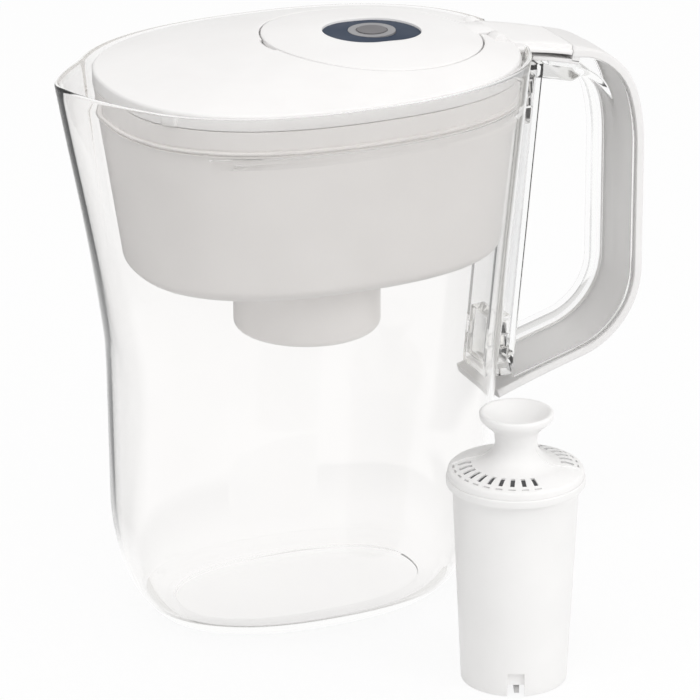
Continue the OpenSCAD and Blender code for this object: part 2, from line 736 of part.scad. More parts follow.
module handle_cover() color([0.95, 0.94, 0.93]) {
    loft([for (s = concat([top_station(strap_start), top_station((strap_start + top_arc_x) / 2)],
                          bend_stations,
                          [for (i = [1 : 4]) low_station(mix(low_arc_x, low_end_x, i / 4))]))
        strap_ring(s)]);
    // the low plate that the lid's tongue covers, and the step up from it
    across(grip_half_w - 0.2)
        polygon(band([for (i = [0 : 3]) top_station(mix(plate_start, step_end, i / 3))],
                     plate_depth, plate_depth + plate_t));
    across(grip_half_w - 0.2)
        polygon(band([top_station(strap_start + 0.2), top_station(step_end)],
                     bar_rise + strap_t / 2, plate_depth + 1));
}

core_half_w = grip_half_w - strap_t - fit;
core_out = tongue_t + fit;
core_in = core_out + core_depth;
arm_top_depth = plate_depth + plate_t + fit;

function spine_line(z, d) = [jug_back(z) + spine_gap + d, z];
spine_top_h = top_line(rim_back + spine_depth) - arm_top_depth - 2;
spine_foot_h = low_line(shoulder_back + spine_depth + 4) + core_out + 0.6;
lug_h = 22;
lug_heights = [spine_foot_h + core_wall + 2, spine_top_h - core_wall - 2 - lug_h];
gusset_depth = core_out + 12;
gusset_reach = 5;      // how far the gusset goes on past the step
far_out = 100;         // more than the object's half width or half the arm's length

core_stations = concat([for (i = [0 : 3]) top_station(mix(rim_back + 4, top_arc_x, i / 4))],
                       bend_stations, [low_station(low_root_x + spine_depth + 4)]);

module frame_outline(d_out, d_in) polygon(band(core_stations, d_out, d_in));
module spine_outline(wall) polygon([
    for (z = [spine_foot_h + wall, spine_top_h - wall]) spine_line(z, wall > 0 ? -1 : 0),
    for (z = [spine_top_h - wall, spine_foot_h + wall]) spine_line(z, spine_depth - wall)]);

module handle_frame() color([0.9, 0.95, 0.97, 0.4]) difference() {
    union() {
        across(core_half_w) frame_outline(core_out, core_in);
        across(core_half_w) polygon(band([top_station(rim_back + 6), top_station(step_end),
            top_station(step_end + gusset_reach)], core_out + 2, gusset_depth));
        across(spine_half_w) spine_outline(0);
    }
    // channel of the core, open to the strap
    across(core_half_w - core_wall) difference() {
        frame_outline(core_out - 1, core_in - core_wall);
        square([rim_back + spine_depth + core_wall, rim_h * 2]);
    }
    // channel of the spine, open to the jug
    across(spine_half_w - core_wall) spine_outline(core_wall);
    // room under the lid's tongue
    across(far_out) polygon(band([top_station(lid_back - notch_reach), top_station(rim_back + 4),
        top_station(step_end + fit)], -notch_reach, arm_top_depth));
    // room for the strap's lower end
    across(far_out) polygon(band([low_station(low_arc_x - 6), low_station(foot_half_l)],
        -notch_reach, core_out));
    // windows for the jug's barbs
    for (low = lug_heights)
        translate([jug_back(low + lug_h / 2) + (spine_depth - core_wall) / 2, 0, low + lug_h / 2])
            cube([spine_depth / 2 + 1, far_out, barb_h + 2 * fit], center = true);
}

// ---- cartridge ---------------------------------------------------------------------------

function shell_r(z) = mix(cart_foot_r, cart_top_r, z / cart_body_h);
module at_cartridge() translate([cart_x, cart_y, 0]) children();

flange_t = 3.6;
shell_floor_h = 5;
shell_floor_t = 1.6;
notch_w = 7;
notch_h = 10;
notch_angle = -114;    // the notch looks towards the jug's spout side

module cartridge_shell() color([0.96, 0.96, 0.95]) at_cartridge() difference() {
    rotate_extrude() polygon([
        [0, shell_floor_h], [shell_r(shell_floor_h) - cart_wall, shell_floor_h],
        [cart_foot_r - cart_wall, 0], [cart_foot_r, 0], [cart_top_r, cart_body_h - flange_t],
        [cart_flange_r - 0.6, cart_body_h - flange_t], [cart_flange_r, cart_body_h - flange_t + 0.6],
        [cart_flange_r, cart_body_h], [cart_top_r - cart_wall, cart_body_h],
        [shell_r(shell_floor_h + shell_floor_t) - cart_wall, shell_floor_h + shell_floor_t],
        [0, shell_floor_h + shell_floor_t]]);
    for (a = [0 : 45 : 315])
        rotate([0, 0, a + 22.5]) translate([9, -1, 0]) cube([9, 2, 12]);
    rotate([0, 0, notch_angle]) translate([cart_foot_r - 6, -notch_w / 2, -1])
        cube([12, notch_w, notch_h - 4]);
}

cap_plate_t = 1.6;
cap_base = cart_body_h + 0.05;
funnel_r = 20.5;
neck_r = 8.6;
neck_h = 15;
slot_pitch = 12.1;
slot_start_r = 18.3;
slot_len = 5.4;
slot_w = 1.8;
module cartridge_cap() color([0.98, 0.98, 0.97]) at_cartridge() difference() {
    translate([0, 0, cap_base]) rotate_extrude() polygon(concat(
        [[0, cart_cap_h - 4], [knob_r * 0.55, cart_cap_h - 3], [knob_r - 1.2, cart_cap_h],
         [knob_r, cart_cap_h - 0.8], [knob_r - 0.6, cart_cap_h - 3.4], [neck_r + 1.4, neck_h + 5.6],
         [neck_r, neck_h + 2]],
        [for (i = [0 : 6]) let (a = 90 * i / 6)
            [mix(neck_r, funnel_r, 1 - cos(a)), mix(neck_h, 5.4, sin(a))]],
        [[cart_flange_r - 1.6, 3.2], [cart_flange_r - 0.6, 2.6], [cart_flange_r - 0.6, 0],
         [cart_top_r - cart_wall - 0.2, 0], [cart_top_r - cart_wall - 0.2, -2],
         [cart_top_r - cart_wall - 1.6, -2], [cart_top_r - cart_wall - 1.6, 1.4],
         [funnel_r, 3.4], [neck_r, 6], [0, 6]]));
    for (side = [0, 180], i = [0 : slots_per_side - 1])
        rotate([0, 0, side + 210 + (i - (slots_per_side - 1) / 2) * slot_pitch])
            translate([slot_start_r, -slot_w / 2, cap_base - 1]) cube([slot_len, slot_w, 12]);
}

module inlet_screen() color([0.85, 0.86, 0.87]) at_cartridge()
    translate([0, 0, cart_body_h - 3.4]) cylinder(r = cart_top_r - cart_wall - 0.5, h = 0.6);

media_gap = 0.3;
module filter_media() color([0.15, 0.15, 0.15]) at_cartridge() rotate_extrude() polygon([
    [0, shell_floor_h + shell_floor_t + 1.2],
    [shell_r(shell_floor_h + shell_floor_t) - cart_wall - media_gap, shell_floor_h + shell_floor_t + 1.2],
    [shell_r(cart_body_h - 4) - cart_wall - media_gap, cart_body_h - 4],
    [0, cart_body_h - 4]]);

module outlet_screen() color([0.85, 0.86, 0.87]) at_cartridge()
    translate([0, 0, shell_floor_h + shell_floor_t + 0.1])
        cylinder(r = shell_r(shell_floor_h) - cart_wall - 0.4, h = 0.6);

// ---- nodes ------------------------------------------------------------------------------

jug();
handle_frame();
handle_cover();
reservoir();
filter_collar();
lid();
flip_door();
indicator_housing();
indicator_face();
light_ring();
indicator_button();
circuit_board();
switch();
leds();
coin_cell();
cell_clip();
indicator_back();
indicator_seal();
cartridge_shell();
cartridge_cap();
inlet_screen();
filter_media();
outlet_screen();
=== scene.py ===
# %% [markdown]
# # Water filter pitcher with a flip lid
# This file dresses a finished CAD model. The CAD holds the true sizes, joints and inner
# pieces. Here each visible surface gets a smooth mesh and a finish, one cell at a time.
# Lengths of the pitcher are written in millimetres, as a maker would, and turned into
# Blender's metres only where a mesh is made. The studio round it is in metres.

# %% Load the frame
import math

import bmesh
import bpy
import numpy as np
from mathutils import Matrix, Vector


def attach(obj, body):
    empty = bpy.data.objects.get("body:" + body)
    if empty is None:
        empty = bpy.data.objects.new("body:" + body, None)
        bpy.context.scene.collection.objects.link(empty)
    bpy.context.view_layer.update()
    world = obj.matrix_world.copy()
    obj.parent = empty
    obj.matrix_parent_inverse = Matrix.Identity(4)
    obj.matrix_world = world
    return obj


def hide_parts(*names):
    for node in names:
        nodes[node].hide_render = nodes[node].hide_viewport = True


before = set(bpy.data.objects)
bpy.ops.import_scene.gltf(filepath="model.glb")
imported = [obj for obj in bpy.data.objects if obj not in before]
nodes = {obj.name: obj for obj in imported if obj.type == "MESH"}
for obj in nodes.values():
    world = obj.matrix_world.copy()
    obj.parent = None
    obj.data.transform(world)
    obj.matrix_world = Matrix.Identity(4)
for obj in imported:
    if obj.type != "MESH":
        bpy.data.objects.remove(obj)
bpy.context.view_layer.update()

mm = 0.001

# %% [markdown]
# The camera looks down at the pitcher from the front left. It stands almost two metres
# away with a long lens, as for a catalogue picture, so that upright walls stay parallel.
# A long lens could be faked with an orthographic camera, but the slight closing of the
# lines towards the back is part of how such a picture looks.

# %% Camera
turn_deg, tilt_deg, roll_deg = 24.31, 21.01, -0.20
distance = 1.960
aim = Vector((0.02514, 0.0, 0.10728))
focal_px, picture_px, sensor = 4582.5, 700, 36.0

turn, tilt = math.radians(turn_deg), math.radians(tilt_deg)
gaze = Vector((math.sin(turn) * math.cos(tilt), math.cos(turn) * math.cos(tilt), -math.sin(tilt)))
camera_data = bpy.data.cameras.new("catalogue_camera")
camera_data.sensor_width = sensor
camera_data.lens = focal_px / picture_px * sensor
camera_data.clip_end = 50
camera = bpy.data.objects.new("catalogue_camera", camera_data)
bpy.context.scene.collection.objects.link(camera)
camera.location = aim - distance * gaze
camera.rotation_euler = gaze.to_track_quat("-Z", "Y").to_euler()
camera.rotation_euler.rotate_axis("Z", math.radians(roll_deg))
bpy.context.scene.camera = camera
print("camera at", [round(v, 3) for v in camera.location], "lens", round(camera_data.lens, 1), "mm")

# %% [markdown]
# Every finish and the studio itself are small graphs of shader nodes. They could be put
# together by hand in the editor. A few helpers that add a node, join it and do sums
# keep the same work down to a line or two, and show what depends on what.

# %% Node helpers
def add(tree, kind, **sockets):
    """A shader node with some of its input sockets set by name."""
    node = tree.nodes.new(kind)
    for name, value in sockets.items():
        node.inputs[name.replace("_", " ")].default_value = value
    return node


def join(tree, value, node, name):
    """Feed a value, which is another node's output, into one input of a node."""
    tree.links.new(value, node.inputs[name])


def calc(tree, operation, first, second):
    """A maths node's result. Each term is a number or another node's output."""
    node = add(tree, "ShaderNodeMath")
    node.operation = operation
    for place, term in enumerate((first, second)):
        if isinstance(term, (int, float)):
            node.inputs[place].default_value = term
        else:
            join(tree, term, node, place)
    return node.outputs[0]


def ramp_over(tree, value, start, end, low, high):
    """Goes from low to high while the value goes from start to end."""
    node = add(tree, "ShaderNodeMapRange", From_Min=start, From_Max=end, To_Min=low, To_Max=high)
    join(tree, value, node, "Value")
    return node.outputs[0]


def either(tree, share, first, second):
    """The first shader where the share is 0, the second where it is 1."""
    node = add(tree, "ShaderNodeMixShader")
    for place, value in enumerate((share, first, second)):
        join(tree, value, node, place)
    return node.outputs[0]


print("node helpers:", *(helper.__name__ for helper in (add, join, calc, ramp_over, either)))

# %% [markdown]
# Clear plastic shows only what it bends: in an evenly white room it would vanish. So the
# room is plain white where the camera sees it, softly shaded from top to bottom for the
# light it gives, and nearly dark at the horizon for rays that come through a clear wall.
# That draws the fine grey lines along the jug's edges, and no extra lamp is needed.

# %% Studio walls
room_light, horizon_grey, horizon_top = 0.86, 0.12, 0.45
shades = ((0.28, (0.7, 0.695, 0.69, 1)), (0.8, (1.0, 0.995, 0.99, 1)))

world = bpy.data.worlds.new("studio")
bpy.context.scene.world = world
world.use_nodes = True
room = world.node_tree
room.nodes.clear()
ray = add(room, "ShaderNodeLightPath").outputs
split = add(room, "ShaderNodeSeparateXYZ")
join(room, add(room, "ShaderNodeTexCoord").outputs["Generated"], split, "Vector")
height = split.outputs["Z"]
ramp = add(room, "ShaderNodeValToRGB")
for stop, (share, shade) in zip(ramp.color_ramp.elements, shades):
    stop.position, stop.color = share, shade
join(room, ramp_over(room, height, -1, 1, 0, 1), ramp, "Fac")
unscattered = calc(room, "LESS_THAN", ray["Diffuse Depth"], 0.5)
bent_ray = calc(room, "MULTIPLY", ray["Is Transmission Ray"], unscattered)
horizon = ramp_over(room, height, 0.0, horizon_top, horizon_grey, 1.0)
held_back = calc(room, "MULTIPLY", bent_ray, calc(room, "SUBTRACT", 1.0, horizon))
glow = add(room, "ShaderNodeBackground")
join(room, ramp.outputs["Color"], glow, "Color")
join(room, calc(room, "MULTIPLY", calc(room, "SUBTRACT", 1.0, held_back), room_light), glow, "Strength")
white = add(room, "ShaderNodeBackground", Color=(1, 1, 1, 1), Strength=1.0)
seen_room = either(room, ray["Is Camera Ray"], glow.outputs[0], white.outputs[0])
join(room, seen_room, add(room, "ShaderNodeOutputWorld"), "Surface")
print("studio walls:", len(room.nodes), "nodes")

# %% [markdown]
# Two soft boxes light the object: a strong one to the front right, which models the round
# walls from a bright right side to a greyer left, and a weaker one high on the left. Area
# lamps are right for this, because their size is what makes a shadow soft. Clear walls
# would show them as hard white patches, so they are kept out of reflections, and the
# room's own brightness gives the gloss.

# %% Soft boxes
def soft_box(name, place_at, aim_h, size, watts):
    """A round area lamp that looks at a point above the origin."""
    data = bpy.data.lights.new(name, "AREA")
    data.shape = "DISK"
    data.size = size
    data.energy = watts
    lamp = bpy.data.objects.new(name, data)
    bpy.context.scene.collection.objects.link(lamp)
    lamp.location = place_at
    to_target = Vector((0.0, 0.0, aim_h)) - Vector(place_at)
    lamp.rotation_euler = to_target.to_track_quat("-Z", "Y").to_euler()
    lamp.visible_glossy = False
    lamp.visible_transmission = False
    return lamp


key = soft_box("key_box", (1.0, -1.7, 1.15), aim_h=0.12, size=1.0, watts=12)
top = soft_box("top_box", (-0.55, -0.75, 1.85), aim_h=0.2, size=1.0, watts=7)
print("soft boxes:", key.data.energy, "and", top.data.energy, "W")

# %% [markdown]
# The floor is a pale sweep of paper. It is mostly its own white to the camera, so that
# the picture stays clean, and partly plain matte paint, so that the object still casts a
# faint shadow.

# %% Floor
floor_half, floor_drop, white_share = 4.0, 0.0002, 0.9
floor_mesh = bpy.data.meshes.new("floor")
corners = [(x * floor_half, y * floor_half, 0) for x, y in ((-1, -1), (1, -1), (1, 1), (-1, 1))]
floor_mesh.from_pydata(corners, [], [(0, 1, 2, 3)])
floor = bpy.data.objects.new("floor", floor_mesh)
bpy.context.scene.collection.objects.link(floor)
floor.location.z = -floor_drop
paper = bpy.data.materials.new("paper_sweep")
paper.use_nodes = True
tree = paper.node_tree
tree.nodes.clear()
matte = add(tree, "ShaderNodeBsdfDiffuse", Color=(0.88, 0.88, 0.88, 1))
own_white = add(tree, "ShaderNodeEmission", Color=(1, 1, 1, 1), Strength=1.0)
seen = add(tree, "ShaderNodeLightPath").outputs
paper_skin = either(tree, calc(tree, "MULTIPLY", seen["Is Camera Ray"], white_share),
                    matte.outputs[0], own_white.outputs[0])
floor_mesh.materials.append(paper)
print("floor is", 2 * floor_half, "m wide")

# %% [markdown]
# A studio for clear plastic keeps its white narrow: what lies further to the sides is
# dark, and only steep edges bend a ray that far, so they get a dark outline. Black card
# beside the object does it in a real studio. Here the floor is darker there, but only
# for rays that have bounced inside a clear wall, so nothing else in the picture changes.

# %% Narrow white for bent rays
left_dark, left_white, left_grey = -0.15, -0.105, 0.03
right_white, right_dark, right_grey = 0.24, 0.4, 0.45
back_blur = 0.03
across, away = (math.cos(turn), -math.sin(turn), 0), (math.sin(turn), math.cos(turn), 0)
where = add(tree, "ShaderNodeTexCoord").outputs["Object"]


def metres_along(direction):
    node = add(tree, "ShaderNodeVectorMath")
    node.operation = "DOT_PRODUCT"
    node.inputs[1].default_value = direction
    join(tree, where, node, 0)
    return node.outputs["Value"]


def more_than(count, limit):
    return calc(tree, "GREATER_THAN", seen[count], limit)


sideways = metres_along(across)
behind = ramp_over(tree, metres_along(away), -back_blur, back_blur, 0.0, 1.0)
left_loss = ramp_over(tree, sideways, left_dark, left_white, 1 - left_grey, 0.0)
left_loss = calc(tree, "MULTIPLY", behind, left_loss)
right_loss = ramp_over(tree, sideways, right_white, right_dark, 0.0, 1 - right_grey)
let_out = calc(tree, "MULTIPLY", seen["Is Transmission Ray"], more_than("Glossy Depth", 0.5))
steep = calc(tree, "MAXIMUM", let_out, more_than("Glossy Depth", 1.5))
steep = calc(tree, "MULTIPLY", steep, calc(tree, "LESS_THAN", seen["Diffuse Depth"], 0.5))
loss = calc(tree, "MULTIPLY", steep, calc(tree, "MAXIMUM", left_loss, right_loss))
bent_white = add(tree, "ShaderNodeEmission", Color=(1, 1, 1, 1))
join(tree, calc(tree, "SUBTRACT", 1.0, loss), bent_white, "Strength")
indirect = calc(tree, "MAXIMUM", seen["Is Transmission Ray"], seen["Is Glossy Ray"])
paper_skin = either(tree, indirect, paper_skin, bent_white.outputs[0])
join(tree, paper_skin, add(tree, "ShaderNodeOutputMaterial"), "Surface")
print("white for bent rays from", left_white, "to", right_white, "m")

# %% [markdown]
# ## Finishes
# Moulded plastic is never perfectly even. Three things show at this distance: a faint
# cloudiness of the colour, a gloss that varies a little, and the soft ripple of a cooled
# skin. One helper makes a noise that follows the object's own coordinates, and each
# finish uses it at its own scale.

# %% Clouded finishes
def cloud(tree, scale, detail=3.0):
    """A noise in the object's own metres."""
    noise = add(tree, "ShaderNodeTexNoise", Scale=scale, Detail=detail, Roughness=0.55)
    join(tree, add(tree, "ShaderNodeTexCoord").outputs["Object"], noise, "Vector")
    return noise.outputs["Fac"]


def spread(tree, scale, low, high):
    """A noise's value, mostly 0.3 to 0.7, moved into the range from low to high."""
    return ramp_over(tree, cloud(tree, scale), 0.3, 0.7, low, high)


def clouded(name, dark, light, gloss, colour_scale, gloss_scale):
    """A finish whose colour and gloss vary, with its tree, its main shader and its end."""
    finish = bpy.data.materials.new(name)
    finish.use_nodes = True
    tree = finish.node_tree
    tree.nodes.clear()
    out = add(tree, "ShaderNodeOutputMaterial")
    skin = add(tree, "ShaderNodeBsdfPrincipled")
    join(tree, skin.outputs["BSDF"], out, "Surface")
    mixer = add(tree, "ShaderNodeMix")
    mixer.data_type = "RGBA"
    join(tree, spread(tree, colour_scale, 0.0, 1.0), mixer, "Factor")
    mixer.inputs["A"].default_value = (*dark, 1)
    mixer.inputs["B"].default_value = (*light, 1)
    join(tree, mixer.outputs["Result"], skin, "Base Color")
    join(tree, spread(tree, gloss_scale, *gloss), skin, "Roughness")
    return finish, tree, skin, out


print("materials so far:", len(bpy.data.materials))

# %% [markdown]
# White moulded plastic: a satin gloss over a warm white. The bump is only a hundredth of
# a millimetre deep, which is enough to break up the highlights. The handle's strap is the
# lid's white made darker, as painted shade for its faces turned from the light. The tub
# is the same white made warmer and lighter, and its extra lightness is painted light
# that makes up for the light its clear jug wall holds back. The label is printed ink,
# which reflects less than a bare skin.

# %% White plastics
def moulded(name, dark, light, gloss, grain=900.0, grain_depth=0.00001):
    finish, tree, skin, out = clouded(name, dark, light, gloss, 35.0, 60.0)
    bump = add(tree, "ShaderNodeBump", Strength=0.25, Distance=grain_depth)
    join(tree, cloud(tree, grain, 2.0), bump, "Height")
    join(tree, bump.outputs["Normal"], skin, "Normal")
    skin.inputs["IOR"].default_value = 1.5
    return finish


shell_white = moulded("shell_white", (0.835, 0.825, 0.82), (0.865, 0.857, 0.852), (0.32, 0.42))
# Painted shade: the strap is the lid's white made darker, for its faces turned away from the light.
strap_white_painted_shade = moulded("strap_white_painted_shade", (0.755, 0.746, 0.742), (0.785, 0.777, 0.772), (0.34, 0.44))
# Painted light: the tub is the shell's white made warmer and lighter, and the extra lightness stands in for
# light the clear jug wall holds back.
tub_white_painted_light = moulded("tub_white_painted_light", (0.88, 0.86, 0.847), (0.905, 0.885, 0.872), (0.34, 0.44))
cartridge_white = moulded("cartridge_white", (0.825, 0.82, 0.815), (0.85, 0.845, 0.84), (0.3, 0.4))
inner_white = moulded("inner_white", (0.74, 0.74, 0.73), (0.8, 0.8, 0.79), (0.4, 0.55))
label_blue = moulded("label_blue", (0.034, 0.048, 0.078), (0.042, 0.058, 0.09), (0.5, 0.6))
label_blue.node_tree.nodes["Principled BSDF"].inputs["Specular IOR Level"].default_value = 0.1
ring_grey = moulded("ring_grey", (0.25, 0.25, 0.26), (0.29, 0.29, 0.3), (0.35, 0.45))
button_grey = moulded("button_grey", (0.15, 0.146, 0.152), (0.175, 0.17, 0.177), (0.5, 0.62))
board_green = moulded("board_green", (0.012, 0.085, 0.035), (0.02, 0.12, 0.05), (0.35, 0.5))
lens_yellow = moulded("lens_yellow", (0.8, 0.78, 0.55), (0.85, 0.83, 0.62), (0.15, 0.25))
seal_black = moulded("seal_black", (0.012, 0.012, 0.012), (0.02, 0.02, 0.02), (0.55, 0.7))
print("plastics:", shell_white.name, "to", seal_black.name)

# %% [markdown]
# Granules and woven screens are too fine to model one by one, so a deeper and finer bump
# stands for them. The dark grey for the sheet under the cap's slots is painted shade.

# %% Granules, screens and painted slot shade
carbon = moulded("carbon", (0.008, 0.008, 0.008), (0.03, 0.03, 0.03), (0.7, 0.95), 1400.0, 0.0003)
screen_white = moulded("screen_white", (0.6, 0.6, 0.6), (0.8, 0.8, 0.8), (0.5, 0.6), 1600.0, 0.0002)
# Painted shade: a dark grey for the sheet that darkens the cap's slots.
slot_shade_grey = moulded("slot_shade_grey", (0.03, 0.03, 0.032), (0.12, 0.12, 0.125), (0.6, 0.8), 1500.0, 0.0002)
print("coarse finishes:", carbon.name, screen_white.name, slot_shade_grey.name)

# %% [markdown]
# Metal parts sit inside the indicator, so they need only the plain look of stamped steel
# and brass.

# %% Metals
def stamped(name, dark, light):
    finish, tree, skin, out = clouded(name, dark, light, (0.24, 0.36), 120.0, 400.0)
    skin.inputs["Metallic"].default_value = 1.0
    return finish


steel = stamped("steel", (0.5, 0.5, 0.51), (0.6, 0.6, 0.61))
brass = stamped("brass", (0.55, 0.42, 0.16), (0.65, 0.5, 0.22))
print("metals:", steel.name, brass.name)

# %% [markdown]
# The jug and the handle's core are clear styrene. Their look comes from refraction in a
# real wall with two skins, so the mesh must be closed and the shader needs only its index
# and a trace of warmth. A lamp's light would stop at such a wall, because Blender doesn't
# trace lamps through glass, so for shadow rays the wall turns transparent. It does so too
# for a ray that has bounced inside the wall many times: in a real wall that light leaks
# out in the end, and a rim is light grey, not black. The grip's core has its edges
# polished and rounded so far that it hardly shows, so its index is set low.

# %% Clear styrene
def clear_styrene(name, tone, gloss, index, passes=7.5, bounces=2.5):
    finish, tree, skin, out = clouded(name, [0.985 * t for t in tone], tone, gloss, 18.0, 25.0)
    skin.inputs["Transmission Weight"].default_value = 1.0
    skin.inputs["IOR"].default_value = index
    lit = add(tree, "ShaderNodeBsdfTransparent", Color=(0.99, 0.99, 0.985, 1))
    path = add(tree, "ShaderNodeLightPath").outputs
    let_through = path["Is Shadow Ray"]
    for depth, most in (("Ray Depth", passes), ("Glossy Depth", bounces)):
        let_through = calc(tree, "MAXIMUM", let_through, calc(tree, "GREATER_THAN", path[depth], most))
    join(tree, either(tree, let_through, skin.outputs["BSDF"], lit.outputs[0]), out, "Surface")
    return finish


jug_clear = clear_styrene("jug_clear", (0.995, 0.99, 0.985), (0.0, 0.02), 1.42)
spine_clear = clear_styrene("spine_clear", (0.985, 0.985, 0.985), (0.0, 0.03), 1.4)
grip_clear = clear_styrene("grip_clear", (0.99, 0.99, 0.99), (0.05, 0.1), 1.12, passes=4.5, bounces=0.5)
print("clear finishes:", jug_clear.name, spine_clear.name, grip_clear.name)

# %% [markdown]
# ## Mesh helpers
# A piece becomes real here: its points turn into metres, its faces get a smooth shading
# that stays crisp at edges sharper than a given angle, and it is joined to the body that
# it moves with. Clear plastic also needs every face to look outwards.

# %% Finished piece
def outward(mesh):
    """Turn every closed skin's faces outwards, which clear plastic needs."""
    shape = bmesh.new()
    shape.from_mesh(mesh)
    bmesh.ops.recalc_face_normals(shape, faces=shape.faces)
    shape.to_mesh(mesh)
    shape.free()


def finish_piece(name, verts, faces, finish, slot_name, body, crisp_deg):
    """A mesh in millimetres as a smooth piece with its finish, on its moving body."""
    mesh = bpy.data.meshes.new(name)
    mesh.from_pydata([tuple(v) for v in np.asarray(verts) * mm], [], faces)
    mesh.validate()
    mesh.polygons.foreach_set("use_smooth", [True] * len(mesh.polygons))
    mesh.set_sharp_from_angle(angle=math.radians(crisp_deg))
    mesh.materials.append(finish)
    piece = bpy.data.objects.new(name, mesh)
    bpy.context.scene.collection.objects.link(piece)
    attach(piece, body)
    outward(mesh)
    print(name, len(faces), "faces,", " x ".join(f"{s:.1f}" for s in np.ptp(verts, 0)), "mm")
    return piece


print("piece helpers:", outward.__name__, "and", finish_piece.__name__)

# %% [markdown]
# Every moulded shell here is a stack of rings: each ring is a closed line with the same
# number of points, and the mesh is the skin through them. Boxes and cylinders joined by
# booleans would do too, but rings keep the faces even, and a rounded edge is just a few
# more rings.

# %% Skin through rings
def skin_faces(ring_count, n, start, loop):
    """Quads between neighbouring rings, and a cap at each end unless the stack loops."""
    faces = []
    for k in range(ring_count if loop else ring_count - 1):
        low, high = start + k * n, start + (k + 1) % ring_count * n
        faces += [(low + i, low + (i + 1) % n, high + (i + 1) % n, high + i) for i in range(n)]
    if not loop:
        last = start + (ring_count - 1) * n
        faces += [tuple(range(start + n - 1, start - 1, -1)), tuple(range(last, last + n))]
    return faces


def skin_piece(name, stacks, finish, slot_name, body, loop=False, crisp_deg=38.0):
    """One mesh from one stack of rings, or from several that belong to one piece."""
    stacks = stacks if isinstance(stacks[0], list) else [stacks]
    verts, faces = np.zeros((0, 3)), []
    for rings in stacks:
        faces += skin_faces(len(rings), len(rings[0]), len(verts), loop)
        verts = np.concatenate([verts, *rings])
    return finish_piece(name, verts, faces, finish, slot_name, body, crisp_deg)


print("the skin through 3 rings of 8 points has", len(skin_faces(3, 8, 0, False)), "faces")

# %% [markdown]
# The jug, the reservoir and the lid share one kind of outline: a superellipse, which is
# an oval with slightly squared shoulders. Its reach to the spout and to the handle can
# differ. The points lie closer together towards the spout, where the outline is drawn out.

# %% Oval outline
plan_power, ring_points, crowding = 2.36, 360, 0.40


def oval(front, back, half_w, angles):
    c, s = np.cos(angles), np.sin(angles)
    x = (back - front) / 2 + (back + front) / 2 * np.sign(c) * np.abs(c) ** (2 / plan_power)
    y = half_w * np.sign(s) * np.abs(s) ** (2 / plan_power)
    return x, y


def ring_at(x, y, z):
    return np.stack([x, y, np.broadcast_to(z, x.shape)], -1)


def mix(a, b, share):
    return a + (b - a) * share


def quarter(steps):
    """Pairs of sine and cosine from 0 to 90 degrees."""
    return [(math.sin(a), math.cos(a)) for a in np.linspace(0, np.pi / 2, steps)]


even = np.linspace(0, 2 * np.pi, ring_points, endpoint=False)
around = even + crowding * np.sin(even)
print("points round an oval:", len(around))

# %% [markdown]
# ## Jug
# The jug is one shot of clear plastic: an oval foot, a large round corner, walls that
# flare to the rim, and a spout that is drawn out of the front wall, with a soft waist
# below it. It could be sculpted, but a formula for each ring gives the clean flow of a
# machined mould. The wall is a second set of rings, one wall thickness inside. The seat is
# the small gap that is left where one piece stands on another.

# %% Jug outline at each height
rim_h, rim_front, rim_back, rim_half_w = 240.0, 91.0, 100.5, 73.5
shoulder_h, shoulder_front, shoulder_back, shoulder_half_w = 52.0, 81.0, 82.5, 60.0
waist_h, foot_half_l, foot_half_w, foot_shift = 122.0, 57.0, 38.0, 1.5
corner_power = 1.94
jug_wall, jug_floor, dish_depth, seat = 2.2, 3.6, 0.8, 0.3


def jug_reach(z):
    """Reach to the spout, reach to the handle and half width at height z."""
    if z < shoulder_h:
        opened = (1 - (1 - max(0.0, z) / shoulder_h) ** corner_power) ** (1 / corner_power)
        return (mix(foot_half_l + foot_shift, shoulder_front, opened),
                mix(foot_half_l - foot_shift, shoulder_back, opened),
                mix(foot_half_w, shoulder_half_w, opened))
    up = (z - shoulder_h) / (rim_h - shoulder_h)
    above_waist = max(0.0, (z - waist_h) / (rim_h - waist_h))
    return (mix(shoulder_front, rim_front, above_waist), mix(shoulder_back, rim_back, up),
            mix(shoulder_half_w, rim_half_w, up))


print("jug at the waist:", [round(v, 1) for v in jug_reach(waist_h)])

# %% [markdown]
# The spout adds to each ring's reach, most at the centre line and less and less to both
# sides, with a rounded tip. The rim also has a low place at the handle, where the lid's
# tongue comes out. Both could be cut and joined on, but as smooth changes to the same
# rings they leave no seam. Extra points where the low place ends keep its corners tight.

# %% Jug rings with spout and tongue gap
spout_reach, spout_half_w, spout_start, spout_lift, tip_r = 14.5, 34.0, 108.0, 3.0, 7.0
spout_fade, spout_growth, lift_start = 1.3, 1.15, 205.0
tongue_gap_half_w, tongue_gap_h, tongue_gap_start, gap_round = 20.2, 235.5, 228.0, 0.5


def oval_angle(y, half_w):
    """The angle at which an oval's handle end has this half width."""
    return math.asin((y / half_w) ** (plan_power / 2))


gap_angles = [side * oval_angle(tongue_gap_half_w + d, rim_half_w - jug_wall / 2)
              for side in (-1, 1) for d in (-gap_round, 0, gap_round)]
jug_around = np.sort(np.concatenate([around, np.mod(gap_angles, 2 * np.pi)]))


def grown(z, start):
    """How far a height is on its way from the start to the rim."""
    return max(0.0, (z - start) / (rim_h - start))


def jug_ring(z, inset=0.0):
    front, back, half_w = jug_reach(z)
    x, y = oval(front - inset, back - inset, half_w - inset, jug_around)
    from_middle = (np.sqrt(y ** 2 + tip_r ** 2) - tip_r) / spout_half_w
    lip = np.where(x < 0, np.maximum(0, 1 - from_middle) ** spout_fade, 0)
    near_gap = np.clip((tongue_gap_half_w + gap_round - np.abs(y)) / (2 * gap_round), 0, 1)
    near_gap = np.where(x > 0, near_gap, 0)
    x = x - spout_reach * grown(z, spout_start) ** spout_growth * lip
    lifted = z + spout_lift * lip * grown(z, lift_start) ** 2
    return ring_at(x, y, lifted - grown(z, tongue_gap_start) * near_gap * (rim_h - tongue_gap_h))


print("points round the jug:", len(jug_around))

